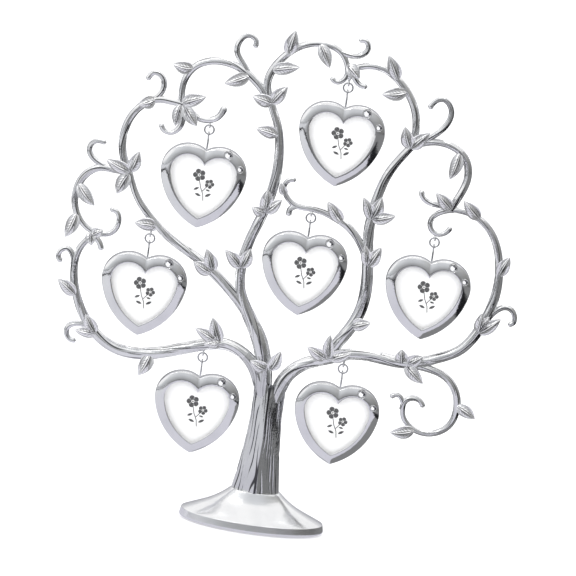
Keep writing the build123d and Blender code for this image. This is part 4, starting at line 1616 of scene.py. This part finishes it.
@dataclass(frozen=True)
class PaleFloor(Finish):
    """Pale paper that the polish sees as bluish grey, and as dark behind the tree."""

    paper: Colour = rgb(0.90, 0.90, 0.92)
    paper_shade: Colour = rgb(0.88, 0.88, 0.905)
    lift: Colour = rgb(1.0, 1.0, 0.99)
    lift_strength: float = 0.28
    left: Colour = rgb(0.74, 0.75, 0.78)
    right: Colour = rgb(0.67, 0.665, 0.735)
    behind: Colour = rgb(0.16, 0.162, 0.17)

    def shader(self, shade: Shade) -> Value:
        """Paper for what is seen and lit, three tones for what is mirrored.

        Args:
            shade: The nodes to add to.

        Returns:
            The surface shader.
        """
        paper = shade.surface(
            {
                "Base Color": shade.blend(shade.noise(3.0, 1.0) * 0.3, self.paper, self.paper_shade),
                "Roughness": 0.8,
                "Specular IOR Level": 0.1,
                "Emission Color": shade.blend(shade.ray("Is Camera Ray"), BLACK, self.lift),
                "Emission Strength": self.lift_strength,
            }
        )
        across, along, _ = shade.parts(shade.place())
        tint = shade.blend(across.ramp(-0.30, 0.0), self.left, self.right)
        tint = shade.blend(along.ramp(0.07, 0.16), tint, self.behind)
        share = shade.ray("Is Glossy Ray")
        return shade.node("ShaderNodeMixShader", inputs={0: share, 1: paper, 2: shade.glow(tint)})


@dataclass(frozen=True)
class Card(Finish):
    """Card that shows its own colour, for the polish to mirror."""

    colour: Callable[[Shade], Value]

    def shader(self, shade: Shade) -> Value:
        """Glow of the card's colour."""
        return shade.glow(self.colour(shade))


@dataclass
class Studio:
    """Pale floor, soft lamps, the cards that the polish mirrors, and the camera.

    Lengths are in metres and angles in degrees. A lamp is its name, place, size and watts.
    """

    elevation: float = 14.0
    roll: float = 8.0
    lens: float = 250.0
    sensor: float = 36.0
    clip: Pair = (0.05, 20.0)
    distance: float = 1.8
    aim: Triple = (0.00192, 0.0, 0.11259)
    world_level: float = 1.0
    floor_reach: float = 4.0
    floor_level: float = -0.0002
    canopy_reach: float = 1.6
    canopy_rise: float = 46.0
    canopy_first: float = -85.0
    canopy_last: float = 110.0
    back_last: float = 262.0
    back_rise: float = 34.0
    cloth_steps: int = 40
    cloth_rows: int = 10
    table_front: float = 0.45
    table_right: float = 0.20
    table_left: float = 0.44
    mat_reach: float = 1.8
    mat_level: float = 0.0004
    low_wall: tuple[Colour, ...] = (rgb(0.62, 0.64, 0.66), rgb(0.34, 0.345, 0.355), rgb(0.20, 0.20, 0.195))
    high_wall: tuple[Colour, ...] = (rgb(0.94, 0.95, 0.96), rgb(0.66, 0.675, 0.70), rgb(0.40, 0.40, 0.395))
    window: Triple = (0.80, 0.45, 0.38)
    lamp_plan: tuple[tuple[str, Triple, float, float], ...] = (
        ("key_lamp", (-1.0, -0.9, 1.0), 0.9, 5.5),
        ("fill_lamp", (0.9, -1.1, 0.8), 0.6, 3.0),
        ("top_lamp", (0.0, 0.3, 1.4), 0.9, 3.0),
    )

    def camera(self) -> bpy.types.Object:
        """Camera at the photograph's angle, turned about its own line of sight.

        Returns:
            The camera.
        """
        data = bpy.data.cameras.new("camera")
        data.lens = self.lens
        data.sensor_width = self.sensor
        data.clip_start, data.clip_end = self.clip
        tilt, roll = math.radians(self.elevation), math.radians(self.roll)
        right = Vector((1.0, 0.0, 0.0))
        up = Vector((0.0, math.sin(tilt), math.cos(tilt)))
        back = Vector((0.0, -math.cos(tilt), math.sin(tilt)))
        turned = right * math.cos(roll) + up * math.sin(roll)
        rising = up * math.cos(roll) - right * math.sin(roll)
        made = added("camera", data)
        columns = Matrix((turned, rising, back)).transposed().to_4x4()
        made.matrix_world = Matrix.Translation(Vector(self.aim) + back * self.distance) @ columns
        bpy.context.scene.camera = made
        return made

    def _level_mesh(self, name: str, corners: Sequence[Pair], level: float) -> bpy.types.Mesh:
        """Mesh of one level face.

        Args:
            name: Its name.
            corners: Its corners.
            level: Its height.

        Returns:
            The mesh.
        """
        mesh = bpy.data.meshes.new(name)
        mesh.from_pydata([(x, y, level) for x, y in corners], [], [tuple(range(len(corners)))])
        return mesh

    def floor(self) -> bpy.types.Object:
        """Wide pale floor that keeps the shadow.

        Returns:
            The floor.
        """
        half = self.floor_reach
        corners = ((-half, -half), (half, -half), (half, half), (-half, half))
        mesh = self._level_mesh("floor", corners, self.floor_level)
        mesh.materials.append(PaleFloor("pale_floor").material())
        made = added("floor", mesh)
        return made

    def _screen(self, name: str, mesh: bpy.types.Mesh, colour: Callable[[Shade], Value]) -> bpy.types.Object:
        """Card that only the polished metal mirrors.

        Args:
            name: Its name.
            mesh: Its mesh.
            colour: Makes its colour from its nodes.

        Returns:
            The card.
        """
        mesh.materials.append(Card(name, colour).material())
        made = added(name, mesh)
        made.visible_camera = made.visible_diffuse = made.visible_transmission = made.visible_shadow = False
        return made

    def _canopy_colour(self, shade: Shade) -> Value:
        """Pale at the left, grey in front, dark at the right, all paler high up, with a white window.

        Args:
            shade: The nodes to add to.

        Returns:
            The colour.
        """
        across, along, up = (part / self.canopy_reach for part in shade.parts(shade.place()))
        to_front, to_right = across.ramp(-0.95, -0.10), across.ramp(0.05, 0.80)
        low, high = (
            shade.blend(to_right, shade.blend(to_front, left, front), right)
            for left, front, right in (self.low_wall, self.high_wall)
        )
        wall = shade.blend(up.ramp(0.0, 0.70), low, high)
        x, y, z = across + self.window[0], along + self.window[1], up - self.window[2]
        window = 1.0 - shade.math("SQRT", x * x + y * y + z * z).ramp(0.22, 0.42)
        return shade.blend(up.ramp(0.005, 0.03), NEAR_BLACK, shade.blend(window, wall, WHITE))

    def _back_colour(self, shade: Shade) -> Value:
        """Mid grey behind the tree, paler higher up."""
        up = shade.parts(shade.place())[2] / self.canopy_reach
        return shade.blend(up.ramp(0.1, 0.55), rgb(0.46, 0.465, 0.49), rgb(0.76, 0.76, 0.78))

    def _cloth(
        self, name: str, first: float, last: float, rise: float, colour: Callable[[Shade], Value]
    ) -> bpy.types.Object:
        """Cloth hung in part of a dome round the tree.

        Args:
            name: Its name.
            first: Angle from the front at which it starts, positive to the right.
            last: Angle at which it ends.
            rise: Angle up to which it reaches.
            colour: Makes its colour from its nodes.

        Returns:
            The cloth.
        """
        steps, rows = self.cloth_steps, self.cloth_rows
        points, faces = [], []
        for height in np.radians(np.linspace(0, rise, rows + 1)):
            out, up = self.canopy_reach * math.cos(height), self.canopy_reach * math.sin(height)
            for turn in np.radians(np.linspace(first, last, steps + 1)):
                points.append((out * math.sin(turn), -out * math.cos(turn), up))
        for row in range(rows):
            for step in range(steps):
                base = row * (steps + 1) + step
                faces.append((base, base + 1, base + steps + 2, base + steps + 1))
        mesh = bpy.data.meshes.new(name)
        mesh.from_pydata(points, [], faces)
        return self._screen(name, mesh, colour)

    def cloths(self) -> list[bpy.types.Object]:
        """Grey cloth over the front and the right, and a lower one behind."""
        return [
            self._cloth("canopy", self.canopy_first, self.canopy_last, self.canopy_rise, self._canopy_colour),
            self._cloth("back_cloth", self.canopy_last, self.back_last, self.back_rise, self._back_colour),
        ]

    def _mat_colour(self, shade: Shade) -> Value:
        """Grey with a black line round the table's edge, pale past its left end.

        Args:
            shade: The nodes to add to.

        Returns:
            The colour.
        """
        across, along, _ = shade.parts(shade.place())
        past = shade.math("MAXIMUM", across - self.table_right, -self.table_front - along)
        past = shade.math("MAXIMUM", past, -self.table_left - across)
        line = past.ramp(-0.01, 0.0) - past.ramp(0.09, 0.15)
        grey = shade.blend(across.ramp(-0.55, -0.05), rgb(0.70, 0.71, 0.74), rgb(0.23, 0.232, 0.236))
        return shade.blend(line.clamp(), grey, NEAR_BLACK)

    def mats(self) -> list[bpy.types.Object]:
        """Studio floor beyond the front, right and left edges of the pale table.

        Returns:
            The three mats.
        """
        far, front, right, left = self.mat_reach, -self.table_front, self.table_right, -self.table_left
        behind_tree = ((0.04, far), (0.035, -0.03), (0.105, -0.13), (right, -0.16))
        plan = (
            ("front_mat", ((-far, -far), (far, -far), (far, front), (-far, front))),
            ("right_mat", ((right, front), (far, front), (far, far), *behind_tree)),
            ("left_mat", ((-far, front), (left, front), (left, far), (-far, far))),
        )
        return [
            self._screen(name, self._level_mesh(name, corners, self.mat_level), self._mat_colour)
            for name, corners in plan
        ]

    def _lamp(self, name: str, place: Triple, size: float, power: float) -> bpy.types.Object:
        """Square soft lamp that faces the tree.

        Args:
            name: Its name.
            place: Its place.
            size: Its side.
            power: Watts.

        Returns:
            The lamp.
        """
        data = bpy.data.lights.new(name, "AREA")
        data.shape = "SQUARE"
        data.size = size
        data.energy = power
        made = added(name, data)
        made.location = place
        made.rotation_euler = (Vector(self.aim) - Vector(place)).to_track_quat("-Z", "Y").to_euler()
        return made

    def lamps(self) -> list[bpy.types.Object]:
        """Soft key from the left, fill and top light."""
        return [self._lamp(*lamp) for lamp in self.lamp_plan]

    def world(self) -> None:
        """White for what is seen and mirrored, plain soft light for the rest."""
        world = bpy.data.worlds.new("studio")
        shade = Shade(world)
        seen = shade.ray("Is Camera Ray") + shade.ray("Is Glossy Ray") + shade.ray("Is Transmission Ray")
        level = self.world_level
        colour = shade.blend(seen.clamp(), rgb(level, level, level), WHITE)
        background = shade.node("ShaderNodeBackground", inputs={"Color": colour, "Strength": 1.0})
        shade.finish(background, "ShaderNodeOutputWorld")
        bpy.context.scene.world = world

    def build(self) -> None:
        """Sets the studio up."""
        bpy.context.scene.view_settings.view_transform = "Standard"
        self.camera()
        self.floor()
        self.cloths()
        self.mats()
        self.lamps()
        self.world()


def report(pieces: Iterable[bpy.types.Object]) -> None:
    """Logs each piece's name and size."""
    for piece in pieces:
        LOG.info("%s: %d faces", piece.name, len(piece.data.polygons))


def main() -> None:
    """Builds and dresses the whole tree and its studio."""
    logging.basicConfig(level=logging.INFO, format="%(name)s %(message)s")
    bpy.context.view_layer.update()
    Studio().build()
    report(Foot().build())
    for limb in (Trunk, LeftBough, ForkedLimb, LeftArches, TopArch, RightBough, RightLimb, OuterLimb):
        report(limb().build())
    for place, ring in RINGS.items():
        report(HeartFrame(place, ring).build())


if __name__ == "__main__":
    main()
